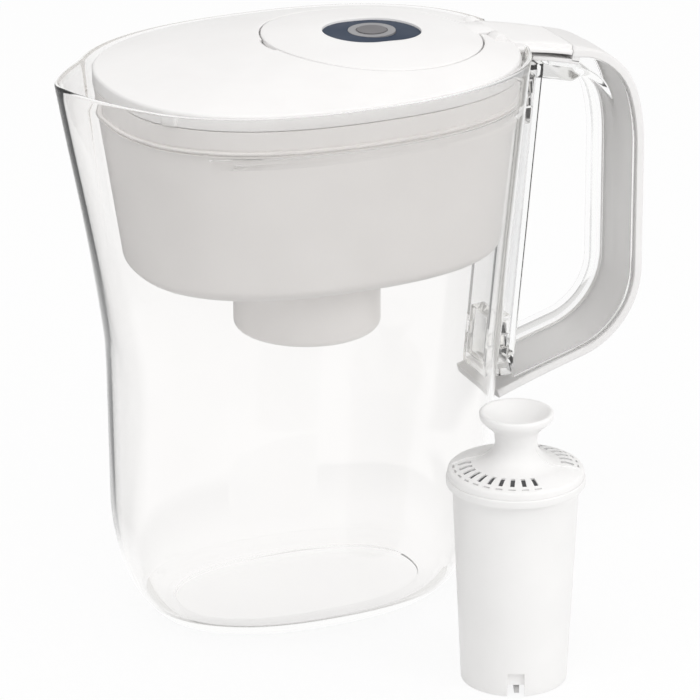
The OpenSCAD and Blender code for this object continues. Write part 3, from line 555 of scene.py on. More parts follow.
# %% [markdown]
# Inside, a low ledge runs round the wall below the rim and carries the reservoir. It is
# left out round the spout, where the water has to get past. The reservoir narrows a
# little towards its floor, so that its mould lets go of it. The fit is the gap round a
# piece that slides into another.

# %% Reservoir outline and the jug's ledge
lid_front, lid_back, lid_half_w = 83.5, 95.7, 70.2
skirt_h, skirt_t = 6.2, 2.0
tub_top, tub_foot, tub_wall, tub_edge = rim_h - skirt_h - seat, 154.6, 2.0, 6.0
taper_front, taper_back, taper_side, fit = 11.0, 6.5, 13.0, 0.2
ledge_h, ledge_t, ledge_start, ledge_fade, ledge_grip = 221.7, 2.0, 62.0, 8.0, 0.4


def tub_ring(z, inset=0.0, angles=around):
    share = min(1.0, max(0.0, (tub_top - z) / (tub_top - tub_foot)))
    tapered = [(lid_front, taper_front), (lid_back, taper_back), (lid_half_w, taper_side)]
    reaches = [min(full - fit - taper * share, wall - jug_wall - seat) - inset
               for (full, taper), wall in zip(tapered, jug_reach(z))]
    x, y = oval(*reaches, angles)
    return ring_at(x, y, z)


def ledge_ring(z):
    wall, edge = jug_ring(z, jug_wall), tub_ring(z, -ledge_grip, jug_around)
    return mix(wall, edge, np.clip((wall[:, 0] + ledge_start) / ledge_fade, 0, 1)[:, None])


print("reservoir top at", tub_top, "mm")

# %% [markdown]
# The jug's rings run up the outside, over the round rim, down the inside past the ledge
# and across the floor, which is slightly dished. The lowest rings of the foot lie under
# that floor, so they are left out inside. The mesh stays a hair inside the CAD's coarser
# skin.

# %% Jug mesh
hair, rim_mid, rings_under_floor = 0.03, jug_wall / 2, 7
floor_half_l, floor_half_w, floor_shift = 54.8, 31.3, 0.3 * foot_shift
foot_round = [shoulder_h * (1 - c ** (2 / corner_power)) for s, c in quarter(22)]
walls_up = list(np.linspace(shoulder_h, rim_h - rim_mid, 46))[1:]
ledge_root = ledge_h - 2 * ledge_t
jug_rings = [jug_ring(z, hair) for z in foot_round + walls_up]
jug_rings += [jug_ring(rim_h - rim_mid + rim_mid * math.sin(a), hair + rim_mid * (1 - math.cos(a)))
              for a in np.linspace(0, np.pi, 9)[1:-1]]
above_ledge = [z for z in walls_up if z > ledge_h + 1]
below_ledge = foot_round[rings_under_floor:] + [z for z in walls_up if z < ledge_root - 1]
jug_rings += [jug_ring(z, jug_wall) for z in above_ledge[::-1] + [ledge_h + 0.3]]
jug_rings += [ledge_ring(ledge_h), ledge_ring(ledge_h - ledge_t), jug_ring(ledge_root, jug_wall)]
jug_rings += [jug_ring(z, jug_wall) for z in below_ledge[::-1]]
dish_edge = [(1.2, dish_depth + 0.1), (0.4, dish_depth), (0.0, dish_depth - 0.25), (-0.4, 0.1), (-1.2, 0.0)]
for out, up in dish_edge:
    x, y = oval(floor_half_l + out, floor_half_l + out, floor_half_w + out, jug_around)
    jug_rings.append(ring_at(x - floor_shift, y, jug_floor + up))
jug_look = (jug_clear, "clear_jug", "jug_body")
jug_shell = skin_piece("jug_shell", jug_rings, *jug_look)
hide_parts("jug")

# %% [markdown]
# ## Reservoir
# The reservoir is a white tub with a round hole in its floor for the filter collar. Its
# rings run up the outside, over the lip and down the inside, and close on themselves
# round the hole. A bead near the top rests on the jug's ledge, with a fine groove along
# it. The bead and the lip are written as pairs of a step up and a step across.

# %% Reservoir mesh
collar_x, collar_r, collar_bore_r, collar_len = 5.0, 31.2, 27.4, 31.5
tub_floor_t, bead_h = 2.4, 222.0
tub_floor = tub_foot + tub_floor_t
bead_shape = [(0, 0), (0.1, 0.6), (0.25, 1), (0.7, 1), (0.85, 0.1), (1.4, 0.1), (1.55, 1), (2.15, 1),
              (2.4, 0.7), (2.65, -0.4), (3.2, -0.4), (3.5, 0)]
lip_shape = [(-0.3, 0), (0, 0.3), (0, 2.2), (2.6, 2.2), (3, 2.6), (3, 3.2), (2.6, 3.6), (-3, 3.6), (-6, 2.0)]


def hole_ring(z):
    """Points of a circle round the collar's axis, in line with those of the oval."""
    ring = tub_ring(z)
    turn = np.arctan2(ring[:, 1], ring[:, 0] - collar_x)
    return ring_at(collar_x + collar_r * np.cos(turn), collar_r * np.sin(turn), z)


tub_profile = [(tub_foot + tub_edge * (1 - c), tub_edge * (1 - s)) for s, c in quarter(9)]
tub_profile += [(z, 0) for z in np.linspace(tub_foot + tub_edge + 3, bead_h - 2, 14)]
tub_profile += [(bead_h + up, -out) for up, out in bead_shape]
tub_profile += [(tub_top + up, inset) for up, inset in lip_shape]
tub_profile += [(z, tub_wall) for z in np.linspace(tub_top - 9, tub_floor + tub_edge + 2, 12)]
tub_profile += [(tub_floor + tub_edge * (1 - s), tub_wall + tub_edge * (1 - c)) for s, c in quarter(9)]
tub_rings = [hole_ring(tub_foot), *(tub_ring(z, inset) for z, inset in tub_profile), hole_ring(tub_floor)]
# Tub and collar carry the lightened white, which is painted light for the light lost behind the jug's wall.
tub_look = (tub_white_painted_light, "white_tub", "reservoir_body")
tub = skin_piece("reservoir_tub", tub_rings, *tub_look, loop=True)
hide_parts("reservoir")

# %% [markdown]
# The collar is a thick short tube that hangs from the hole and grips the cartridge. Its
# lower edge is well rounded. It is turned on a lathe here: one profile, spun about the
# collar's axis. Edges without a radius of their own are softened alike on every piece.

# %% Lathe and filter collar
def lathe(profile, centre, steps=180):
    """Rings of a turned shape: the profile is a list of radius and height."""
    turn = np.linspace(0, 2 * np.pi, steps, endpoint=False)
    return [ring_at(centre[0] + r * np.cos(turn), centre[1] + r * np.sin(turn), z) for r, z in profile]


collar_foot, collar_edge, step_r, step_depth, soft = tub_foot - collar_len, 3.2, 29.6, 3.0, 0.3
edge_in, step_h = collar_r - collar_edge, tub_floor - step_depth
collar_profile = [(edge_in + collar_edge * s, collar_foot + collar_edge * (1 - c)) for s, c in quarter(10)]
collar_profile += [(collar_r, z) for z in np.linspace(collar_foot + 5, tub_foot - 0.4, 6)]
collar_profile += [(collar_r, tub_floor - 0.1), (collar_r - 0.1, tub_floor), (step_r + soft, tub_floor),
                   (step_r, tub_floor - soft), (step_r, step_h), (collar_bore_r + soft, step_h),
                   (collar_bore_r, step_h - soft), (collar_bore_r, collar_foot + 0.4),
                   (collar_bore_r + 0.4, collar_foot)]
collar = skin_piece("collar_tube", lathe(collar_profile, (collar_x, 0)), *tub_look, loop=True)
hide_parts("filter_collar")

# %% [markdown]
# ## Lid
# The lid is a shallow crown. Its height falls with the square of the distance from its
# highest point, where the distance is measured as a share of the way to the lid's edge,
# so the crown follows the oval. Halving steps find that share for any point.

# %% Crown of the lid
crown_x, crown, crown_top = lid_back - 71.7, 9.8, rim_h + 9.7
halvings = 40


def beyond_edge(x, y, inset=0.0):
    """Below 1 inside the lid's outline, above 1 outside."""
    mid, half_l = (lid_back - lid_front) / 2, (lid_back + lid_front) / 2 - inset
    return np.abs((x - mid) / half_l) ** plan_power + np.abs(y / (lid_half_w - inset)) ** plan_power


def dome_height(x, y, depth=0.0):
    near, far = np.full(np.shape(x), 1e-3), np.full(np.shape(x), 1.4)
    for _ in range(halvings):
        share = (near + far) / 2
        outside = beyond_edge(crown_x + (x - crown_x) / share, y / share) > 1
        near, far = np.where(outside, share, near), np.where(outside, far, share)
    return np.minimum(rim_h + crown * (1 - share ** 2), crown_top) - depth


def crown_h(x):
    """Height of the crown on the middle line."""
    return float(dome_height(np.array(x), np.array(0.0)))


print("crown at its middle:", round(crown_h(crown_x), 2), "mm")

# %% [markdown]
# The lid's mesh is laid out round the centre of the door's opening. Each ray from there
# meets the opening first, then the lid's edge. The opening is a circle with a shallow
# finger notch on the spout side and a square notch for the hinge on the handle side.

# %% Opening and edge of the lid
door_x, hole_r, door_r = 35.6, 47.2, 46.5
finger_half_w, finger_depth, finger_passes = 8.5, 1.6, 6
hinge_notch_half_w, hinge_notch_end = 8.5, 92.1
corner_near = math.atan2(hinge_notch_half_w, hinge_notch_end - door_x)
corner_far = math.asin(hinge_notch_half_w / hole_r)
finger_end = math.asin(finger_half_w / hole_r)
breaks = [s * a for s in (-1, 1) for a in (corner_near, corner_far - 1e-4, corner_far,
                                           math.pi - finger_end, math.pi - finger_end - 1e-4)]
rays = np.sort(np.concatenate([np.linspace(0, 2 * np.pi, 440, endpoint=False), np.mod(breaks, 2 * np.pi)]))
ray_x, ray_y = np.cos(rays), np.sin(rays)
ray_turn = np.abs(np.arctan2(ray_y, ray_x))


def opening_r():
    r = np.full(len(rays), hole_r)
    for _ in range(finger_passes):
        inside = np.clip(1 - (r * ray_y / finger_half_w) ** 2, 0, 1)
        notch = (hole_r + finger_depth * np.sqrt(inside)) / np.maximum(1e-6, -ray_x)
        r = np.where((ray_x < 0) & (np.abs(ray_y) < math.sin(finger_end)), notch, hole_r)
    r = np.where(ray_turn < corner_far, hinge_notch_half_w / np.maximum(1e-6, np.abs(ray_y)), r)
    return np.where(ray_turn < corner_near, (hinge_notch_end - door_x) / np.maximum(1e-6, ray_x), r)


def edge_r(inset=0.0):
    near, far = np.full(len(rays), 20.0), np.full(len(rays), 140.0)
    for _ in range(halvings):
        r = (near + far) / 2
        outside = beyond_edge(door_x + r * ray_x, r * ray_y, inset) > 1
        near, far = np.where(outside, near, r), np.where(outside, r, far)
    return r


print("lid reaches", round(float(edge_r().max()), 1), "mm from the door's centre")

# %% [markdown]
# Lid and door are both built from rings round the door's centre, and each ring lies
# either at one height or on the crown. So the two surfaces run on into each other.

# %% Rings round the door's centre
def rings_round_door(turns):
    """Two kinds of ring for these directions: at a height, and on the crown."""
    c, s = np.cos(turns), np.sin(turns)

    def at(r, z):
        return ring_at(door_x + r * c, r * s, z)

    def on_crown(r, depth=0.0):
        r = np.broadcast_to(r, c.shape)
        return at(r, dome_height(door_x + r * c, r * s, depth))
    return at, on_crown


at_rays, on_dome = rings_round_door(rays)
print("points in a ring of the lid:", len(rays))

# %% [markdown]
# The rings run from the ledge that the door rests on, up the opening's wall, over the
# crown, round the edge, down the skirt and back under the crown. In the hinge notch the
# ledge has no width, because the notch is open there.

# %% Lid shell
lid_t, rest_w, rest_depth, rest_t = 2.4, 2.6, 2.7, 1.6
hole_edge, edge_round, skirt_foot, rest_foot = 0.5, 1.3, rim_h - skirt_h, rest_depth + rest_t
hole, inner_edge, shoulder = opening_r(), edge_r(skirt_t), edge_r(edge_round)
ledge_in = np.where(ray_turn < corner_far, hole, hole_r - rest_w)
under_hole = np.minimum(hole + rest_t, inner_edge - 0.1)
shoulder_z = dome_height(door_x + shoulder * ray_x, shoulder * ray_y)
lid_rings = [on_dome(ledge_in + soft, rest_depth), on_dome(hole, rest_depth), on_dome(hole, hole_edge)]
lid_rings += [on_dome(hole + hole_edge * (1 - c), hole_edge * (1 - s)) for s, c in quarter(5)[1:]]
lid_rings += [on_dome(mix(hole + hole_edge, shoulder, share)) for share in np.linspace(0, 1, 26)[1:]]
lid_rings += [at_rays(edge_r(edge_round * (1 - s)), mix(rim_h - edge_round, shoulder_z, c))
              for s, c in quarter(7)[1:]]
lid_rings += [at_rays(edge_r(), skirt_foot + soft), at_rays(edge_r(soft), skirt_foot),
              at_rays(edge_r(skirt_t - soft), skirt_foot), at_rays(inner_edge, skirt_foot + soft)]
lid_rings += [at_rays(inner_edge, rim_h - 3.2), on_dome(edge_r(skirt_t + 0.8), lid_t)]
lid_rings += [on_dome(mix(np.minimum(edge_r(skirt_t + 1), inner_edge), under_hole, share), lid_t)
              for share in np.linspace(0.05, 1, 12)]
lid_rings += [on_dome(under_hole, rest_foot), on_dome(ledge_in + soft, rest_foot),
              on_dome(ledge_in, rest_foot - soft), on_dome(ledge_in, rest_depth + soft)]
lid_look = (shell_white, "white_shell", "lid_body")
lid_shell = skin_piece("lid_shell", lid_rings, *lid_look, loop=True)
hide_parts("lid")

# %% [markdown]
# ## Handle's line
# The lid's tongue, the white strap and the clear core all follow one line in the middle
# plane: a long bow from the lid, an upper corner in two curves, the upright grip, a lower
# corner and a lower arm. A station on that line holds its place, the direction of its
# outward side, the half width there and how far the middle bar still stands up.

# %% Stations along the handle
grip_x, grip_half_w, root_half_w = 157.4, 16.8, 19.4
root_rise, root_slope, top_slope, low_slope = 0.7, math.radians(8.3), math.radians(16), math.radians(16.2)
top_corner_r, ease_r, ease_slope = 34.0, 86.0, math.radians(74)
low_corner_h, low_corner_r, low_flare = 101.2, 39.0, 6.0
upright = math.pi / 2
top_end_x = grip_x - top_corner_r * (math.sin(ease_slope) - math.sin(top_slope))
top_end_x -= ease_r * (1 - math.sin(ease_slope))
bow_r = (top_end_x - lid_back) / (math.sin(top_slope) - math.sin(root_slope))
low_angle = low_slope - upright
low_arc_x = grip_x - low_corner_r * (1 - math.cos(low_angle))
low_root_x = shoulder_back + seat


def half_w_at(back):
    """The handle widens from the grip to its roots."""
    return mix(grip_half_w, root_half_w, back ** 2)


def top_station(x):
    slope = math.asin(math.sin(root_slope) + (x - lid_back) / bow_r)
    z = rim_h + root_rise + bow_r * (math.cos(slope) - math.cos(root_slope))
    back = min(1.0, max(0.0, (top_end_x - x) / (top_end_x - lid_back)))
    return x, z, upright - slope, half_w_at(back), min(1.0, 3 * back)


def low_station(x):
    flare_x = low_arc_x - low_flare
    back = min(1.0, max(0.0, (flare_x - x) / (flare_x - low_root_x)))
    return x, low_corner_h - math.tan(low_slope) * (grip_x - x), low_angle, half_w_at(back), 0.0


def between(station, start, end, steps):
    return [station(x) for x in np.linspace(start, end, steps)]


print("upper arm ends at x", round(top_end_x, 1), "mm")

# %% [markdown]
# Round the corners the line is made of arcs that touch: each starts in the direction in
# which the last one ended, so the grip feels like one bow.

# %% Bends of the handle
def arc(centre, r, start, end, steps):
    turns = np.linspace(start, end, steps)
    return [(centre[0] + r * math.cos(a), centre[1] + r * math.sin(a), a, grip_half_w, 0.0) for a in turns]


def next_centre(station, r):
    return station[0] - r * math.cos(station[2]), station[1] - r * math.sin(station[2])


upper = arc(next_centre(top_station(top_end_x), top_corner_r), top_corner_r, upright - top_slope,
            upright - ease_slope, 22)
eased = arc(next_centre(upper[-1], ease_r), ease_r, upright - ease_slope, 0.0, 8)
lower = arc((grip_x - low_corner_r, low_corner_h + low_corner_r * math.tan(-low_angle / 2)), low_corner_r,
            0.0, low_angle, 30)
grip = [(grip_x, z, 0.0, grip_half_w, 0.0) for z in np.linspace(eased[-1][1], lower[0][1], 8)[1:-1]]
bends = upper + eased[1:] + grip + lower
print("handle's line:", len(bends), "stations round the bends")

# %% [markdown]
# A section is a list of points across the line. Each point says how far out it lies as a
# share of the half width, how far in from there, and how deep below the line. Swept along
# the stations it gives a bar whose ends stay exactly on the line. Both ends are drawn in a
# little, for a soft end edge.

# %% Sweeps
def sweep(stations, section):
    """One ring for each station. The section may be a function of the station."""
    rings = []
    for s in stations:
        points = section(s) if callable(section) else section
        rings.append(np.array([(s[0] - d * math.cos(s[2]), math.copysign(inward, u) - u * s[3] if u else 0.0,
                                s[1] - d * math.sin(s[2])) for u, inward, d in points]))
    return rings


def closed_ends(stations, nip=0.25):
    """The same stations with one more close to each end."""
    def nudged(s, toward):
        away = math.hypot(toward[0] - s[0], toward[1] - s[1])
        return tuple(mix(a, b, nip / away) for a, b in zip(s, toward))
    first, last = stations[0], stations[-1]
    return [first, nudged(first, stations[1])] + stations[1:-1] + [nudged(last, stations[-2]), last]


def soft_ends(rings, by=0.25):
    """The same rings with the first and the last drawn in towards their middles."""
    rings = list(rings)
    for k in (0, -1):
        middle = rings[k].mean(0)
        reach = np.linalg.norm(rings[k] - middle, axis=1, keepdims=True)
        rings[k] = middle + (rings[k] - middle) * (1 - by / reach)
    return rings


def bar(stations, section, by=0.25):
    return soft_ends(sweep(closed_ends(stations), section), by)


def mirrored(half):
    """A closed section from its half on the plus side, which starts in the middle."""
    return half + [(-p[0], *p[1:]) for p in half[::-1] if p[0]]


print("grip's outer face at", grip_x, "mm")

# %% [markdown]
# Strap and tongue share their top. Near the lid it is a bar between two low ledges, and
# towards the grip the ledges fade into one soft edge. The strap has a flange along each
# side, and the tongue is flat below.

# %% Sections of strap and tongue
bar_rise, crown_drop, strap_t, strap_flange = 2.6, 0.4, 1.7, 3.2
tongue_t = bar_rise + strap_t
side_depth = tongue_t + strap_flange - strap_t
grip_side_depth, grip_t, round_r, rim_r = 4.3, 3.4, 1.3, 0.35
bar_edge = [(2.0, 0.4), (1.86, 0.5), (1.8, 0.75), (1.8, 1.6), (1.76, 2.2), (1.6, 2.5), (1.3, 2.6),
            (0.6, 2.6), (0.25, 2.68), (0.06, 2.85), (0.0, 3.1)]
soft_edge = [(round_r * (1 - s), crown_drop + round_r * (1 - c)) for s, c in quarter(len(bar_edge))]


def top_half(s):
    """The outside from the middle to the edge."""
    edge = [(mix(q[0], p[0], s[4]), mix(q[1], p[1], s[4])) for p, q in zip(bar_edge, soft_edge)]
    crown_part = [(u, u * edge[0][0], crown_drop * u * u) for u in (0.0, 0.2, 0.4, 0.6, 0.8)]
    return crown_part + [(1.0, inward, d) for inward, d in edge]


def strap_section(s):
    foot = mix(grip_side_depth, side_depth, s[4])
    rim = [(0.0, foot - rim_r), (rim_r, foot), (strap_t - rim_r, foot), (strap_t, foot - rim_r),
           (strap_t, grip_t + rim_r / 2), (strap_t + rim_r, grip_t)]
    return mirrored(top_half(s) + [(1.0, inward, d) for inward, d in rim])


def tongue_section(s):
    return mirrored(top_half(s) + [(1.0, 0.0, tongue_t - rim_r), (1.0, rim_r, tongue_t)])


print("strap section:", len(strap_section(top_station(120))), "points")

# %% [markdown]
# The tongue is moulded on the lid and reaches over the handle's root. Its end is cut
# square, with a fine gap to the strap, so that lid and handle read as one line.

# %% Tongue
tongue_start, tongue_end = lid_back - 3, 122.2
tongue_line = between(top_station, tongue_start, tongue_end, 16)
skin_piece("lid_tongue", bar(tongue_line, tongue_section), *lid_look, crisp_deg=45)

# %% [markdown]
# Pads on the skirt steady the lid between the jug's walls. A rounded block does for them:
# a box of quads whose edges are bevelled. The same block cuts slots further down.

# %% Rounded blocks and skirt pads
def rounded_block(size, centre, turn_z=0.0, edge=0.4):
    """Vertices and faces of a block with bevelled edges, in millimetres."""
    shape = bmesh.new()
    bmesh.ops.create_cube(shape, size=1.0)
    bmesh.ops.scale(shape, vec=size, verts=shape.verts)
    bmesh.ops.bevel(shape, geom=shape.edges[:], offset=edge, segments=3, affect="EDGES", profile=0.5)
    bmesh.ops.rotate(shape, cent=(0, 0, 0), matrix=Matrix.Rotation(turn_z, 3, "Z"), verts=shape.verts)
    bmesh.ops.translate(shape, vec=centre, verts=shape.verts)
    shape.verts.index_update()
    verts = [tuple(v.co) for v in shape.verts]
    faces = [tuple(v.index for v in f.verts) for f in shape.faces]
    shape.free()
    return verts, faces


def gathered(shapes):
    """Several vertex and face lists as one."""
    verts, faces = [], []
    for more_verts, more_faces in shapes:
        faces += [tuple(v + len(verts) for v in f) for f in more_faces]
        verts += list(more_verts)
    return verts, faces


pad_turn, pad_angle, pad_size, pad_edge = math.radians(144), math.radians(148.5), (2.6, 7.4, 4.2), 1.1
pad_x, pad_y = oval(lid_front, lid_back, lid_half_w, np.array([pad_angle]))
pad_h = skirt_foot + pad_size[2] / 2
pads = [rounded_block(pad_size, (pad_x[0], side * pad_y[0], pad_h), side * pad_turn, pad_edge)
        for side in (-1, 1)]
finish_piece("skirt_pads", *gathered(pads), *lid_look, 30.0)

# %% [markdown]
# Two ears on the lid hold the door's hinge pin, whose axis lies a little below the crown.
# Each is a barrel that grows out of the crown. They could be turned and trimmed, but an
# arch drawn across y and carried along it gives barrel and foot at once, and the narrower
# end rings round its edges.

# %% Hinge ears
hinge_back, hinge_drop = 5.4, 1.2
hinge_x = door_x + hole_r + hinge_back
hinge_z = round(crown_h(hinge_x) - hinge_drop, 3)
ear_r, ear_w, ear_end_t = 3.4, 7.0, 1.2
ear_foot, ear_start, ear_end = hinge_z - ear_r - 0.4, hinge_notch_half_w, hinge_notch_half_w + ear_w


def round_pin(r, start, end, steps, endpoint=True):
    """Part of a circle round the hinge's axis, in the XZ plane."""
    turns = np.linspace(start, end, steps, endpoint=endpoint)
    return [(hinge_x + r * math.cos(a), hinge_z + r * math.sin(a)) for a in turns]


def along_y(outline, places):
    """Rings of one outline in the XZ plane at several places across, each with its size."""
    mid_x, mid_z = np.mean(outline, 0)
    return [np.array([(mix(mid_x, x, k), y, mix(mid_z, z, k)) for x, z in outline]) for y, k in places]


def soft_bar(half_w, narrowed):
    """Places for a bar across the middle, with narrower ends."""
    return [(-half_w, narrowed), (-half_w + soft, 1), (half_w - soft, 1), (half_w, narrowed)]


arch = round_pin(ear_r, 0, math.pi, 28)
ear_outline = [(hinge_x + ear_r, ear_foot)] + arch + [(hinge_x - ear_r, ear_foot)]
ear_places = [(ear_start, 0.92), (ear_start + 0.25, 1), (ear_end - 0.9, 1), (ear_end - 0.25, 0.95),
              (ear_end, 0.84)]
ears = [along_y(ear_outline, [(side * y, k) for y, k in ear_places]) for side in (-1, 1)]
skin_piece("hinge_ears", ears, *lid_look)

# %% [markdown]
# ## Flip door
# The door is a disc that carries on the lid's crown, with a long round-ended pocket for
# the indicator. Rays from its centre cross the pocket's edge first and the door's edge
# last. It could be a disc with a boolean hole, but rings keep its surface as even as the
# crown's, so that no seam shows where the two meet.

# %% Door plate
face_r, face_span, face_drop, label_t, pocket_depth, pocket_wall = 17.3, 7.4, 1.0, 0.12, 10.2, 1.4
face_end_x, face_below = 56.7, 1.15
pocket_floor = crown_h(face_end_x) - face_below - pocket_depth
door_turn = np.linspace(0, 2 * np.pi, 300, endpoint=False)
door_cos, door_sin = np.cos(door_turn), np.sin(door_turn)


def stadium_r(r, span):
    """Distance to the edge of a slot with round ends, along each ray from its middle."""
    half = span / 2
    flat = r / np.maximum(1e-9, np.abs(door_sin))
    end = half * np.abs(door_cos) + np.sqrt(np.maximum(0, r ** 2 - (half * door_sin) ** 2))
    return np.where(flat * np.abs(door_cos) <= half, flat, end)


door_ring, door_dome = rings_round_door(door_turn)
pocket, outer_pocket = stadium_r(face_r + fit / 2, face_span), stadium_r(face_r + pocket_wall, face_span)
rounded, pocket_foot = 0.5, pocket_floor - pocket_wall
door_rings = [door_ring(pocket, pocket_floor), door_dome(pocket, 1.4), door_dome(pocket, 0.25),
              door_dome(pocket + 0.1, 0.08), door_dome(pocket + 0.3)]
door_rings += [door_dome(mix(pocket + 0.3, door_r - rounded, share)) for share in np.linspace(0, 1, 18)[1:]]
door_rings += [door_dome(door_r - rounded * (1 - s), rounded * (1 - c)) for s, c in quarter(5)[1:]]
door_rings += [door_dome(door_r, lid_t - 0.25), door_dome(door_r - 0.25, lid_t)]
door_rings += [door_dome(mix(door_r - 1, outer_pocket, share), lid_t) for share in np.linspace(0, 1, 12)]
door_rings += [door_ring(outer_pocket, pocket_foot + soft), door_ring(outer_pocket - soft, pocket_foot)]
door_look = (shell_white, "white_shell", "door_body")
door_plate = skin_piece("door_plate", door_rings, *door_look)
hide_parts("flip_door")

# %% [markdown]
# The door's leaf dips below the crown and ends in a knuckle on a moulded pin, which
# turns in the lid's two ears.

# %% Door leaf, knuckle and pin
knuckle_r, knuckle_half_w, pin_r, leaf_root = 3.0, 8.0, 1.5, 3
leaf_x = door_x + door_r - leaf_root
leaf_top = crown_h(leaf_x) - 0.1
leaf_foot = leaf_top - lid_t + 0.2
knuckle = round_pin(knuckle_r, math.radians(-150), math.radians(100), 30)
leaf_outline = [(leaf_x, leaf_foot)] + knuckle + [(leaf_x, leaf_top)]
pin_outline = round_pin(pin_r, 0, 2 * math.pi, 32, endpoint=False)
pin_places = soft_bar(ear_end - ear_end_t - seat, 0.85)
skin_piece("door_leaf", along_y(leaf_outline, soft_bar(knuckle_half_w, 0.94)), *door_look)
skin_piece("door_pin", along_y(pin_outline, pin_places), *door_look)

# %% [markdown]
# The label is a thin blue plate with round ends and a round window for the light ring.
# It sits a little below the crown, so its edge throws the thin shadow that shows it is a
# separate piece.

# %% Label plate
ring_r = 10.0
window, label_edge = np.full(len(door_turn), ring_r + fit / 2), stadium_r(face_r, face_span)
label_rings = [door_dome(window, face_drop + 0.05), door_dome(window + 0.1, face_drop)]
label_rings += [door_dome(mix(window + 0.15, label_edge - 0.15, share), face_drop)
                for share in np.linspace(0, 1, 7)]
label_rings += [door_dome(label_edge, face_drop + 0.05), door_dome(label_edge, face_drop + label_t),
                door_dome(window, face_drop + label_t)]
label = skin_piece("label_plate", label_rings, label_blue, "label_blue", "door_body", loop=True)
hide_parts("indicator_face")

# %% [markdown]
# ## Handle cover
# The white strap is one long sweep from the tongue's end, over the grip and back to the
# jug. Under the tongue it goes on as a flat plate, one step lower, so that the lid's
# tongue can lie on it.

# %% Strap and plate
strap_start, step_end, plate_start = tongue_end + seat, tongue_end + seat + 4, rim_back + 3.4
plate_depth, plate_t, plate_half_w = tongue_t + 2, 1.8, grip_half_w - 0.2
low_end_z = low_station(low_root_x)[1] + side_depth
low_end_x = jug_reach(low_end_z)[1] + seat + side_depth * math.cos(low_angle)
strap_line = between(top_station, strap_start, top_end_x, 7)[:-1] + bends
strap_line += between(low_station, low_arc_x, low_end_x, 12)[1:]


def slab(start, end, steps, top, foot, r=0.35):
    """A flat bar with rounded edges, whose width doesn't follow the handle's own width."""
    half = [(0.0, 0.0, top), (1.0, r, top), (1.0, 0.0, top + r), (1.0, 0.0, foot - r), (1.0, r, foot),
            (0.0, 0.0, foot)]
    line = closed_ends(between(top_station, start, end, steps))
    return soft_ends(sweep([(*s[:3], plate_half_w, s[4]) for s in line], mirrored(half)))


slabs = {"strap_plate": slab(plate_start, step_end, 10, plate_depth, plate_depth + plate_t),
         "strap_step": slab(strap_start + 0.2, step_end, 4, bar_rise + strap_t / 2, plate_depth + 1)}
strap_look = (strap_white_painted_shade, "white_shell", "jug_body")
strap = skin_piece("handle_strap", bar(strap_line, strap_section), *strap_look, crisp_deg=45)
for name, rings in slabs.items():
    skin_piece(name, rings, *strap_look)
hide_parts("handle_cover")

# %% [markdown]
# The core under the strap is a clear channel, open towards the strap, which gives the
# grip its stiffness with little plastic. Near the jug it ducks under the plate and grows
# a gusset, and it is solid over the spine, which stands behind the jug. One section with
# a few changing depths covers all of that.

# %% Clear core
core_half_w, core_wall, core_top, core_depth = grip_half_w - strap_t - fit, 2.6, tongue_t + fit, 9.0
spine_depth, gusset_depth, channel_r, core_r, top_part_h = 11.0, 12.0, 0.8, 2.4, 200
core_foot, gusset_foot = core_top + core_depth, core_top + gusset_depth
under_plate, channel_start = plate_depth + plate_t + fit, rim_back + spine_depth + core_wall


def ease(value, start, end):
    """0 before start, 1 after end, smooth between."""
    share = min(1.0, max(0.0, (value - start) / (end - start)))
    return share * share * (3 - 2 * share)


def core_section(s):
    on_top = s[1] > top_part_h
    near_jug, gusset, open_share = 0.0, 0.0, 1.0
    if on_top:
        near_jug, gusset = 1 - ease(s[0], step_end, step_end + 0.8), 1 - ease(s[0], step_end, step_end + 5)
        open_share = ease(s[0], channel_start, channel_start + 0.8)
    top, foot = mix(core_top, under_plate, near_jug), mix(core_foot, gusset_foot, gusset)
    channel, inner = mix(top + 0.05, core_foot - core_wall, open_share), core_half_w - core_wall
    half = [(0.0, channel), (inner - channel_r, channel), (inner, channel - min(channel_r, channel - top)),
            (inner, top), (core_half_w - soft, top), (core_half_w, top + soft)]
    half += [(core_half_w - core_r * (1 - cos), foot - core_r * (1 - sin)) for sin, cos in quarter(6)]
    half += [(0.0, foot)]
    return [(y / s[3], 0.0, d) for y, d in mirrored(half)]


core_start, core_end = rim_back + 4, low_root_x + 15
core_line = between(top_station, core_start, top_end_x, 40)[:-1] + bends
core_line += between(low_station, low_arc_x, core_end, 10)[1:]
core = skin_piece("handle_core", bar(core_line, core_section, 0.3), grip_clear, "clear_handle", "jug_body",
                  crisp_deg=50)
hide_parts("handle_frame")

# %% [markdown]
# Slots, notches and windows are cut with a boolean, the way a side core in the mould
# would leave them. The result is kept as the piece's own mesh, so nothing depends on the
# cutting blocks afterwards. Blocks that overlap are cut one after the other.

# %% Cutting
def cut(piece, shapes):
    """Take blocks away from a piece, and keep the result as its mesh."""
    verts, faces = gathered(shapes)
    tool_mesh = bpy.data.meshes.new("cutter")
    tool_mesh.from_pydata([tuple(v) for v in np.asarray(verts) * mm], [], faces)
    outward(tool_mesh)
    tool = bpy.data.objects.new("cutter", tool_mesh)
    bpy.context.scene.collection.objects.link(tool)
    step = piece.modifiers.new("cut", "BOOLEAN")
    step.operation, step.solver, step.object = "DIFFERENCE", "EXACT", tool
    bpy.context.view_layer.update()
    done = bpy.data.meshes.new_from_object(piece.evaluated_get(bpy.context.evaluated_depsgraph_get()))
    piece.modifiers.clear()
    piece.data = done
    bpy.data.objects.remove(tool)
    done.set_sharp_from_angle(angle=math.radians(38))
    print(piece.name, "after cutting:", len(done.polygons), "faces")


print("handle's core reaches", round(gusset_foot, 1), "mm below the line")

# %% [markdown]
# The spine is a second clear channel that stands against the back of the jug and clips
# over two blocks moulded on it. Its side walls have a window for each barb.

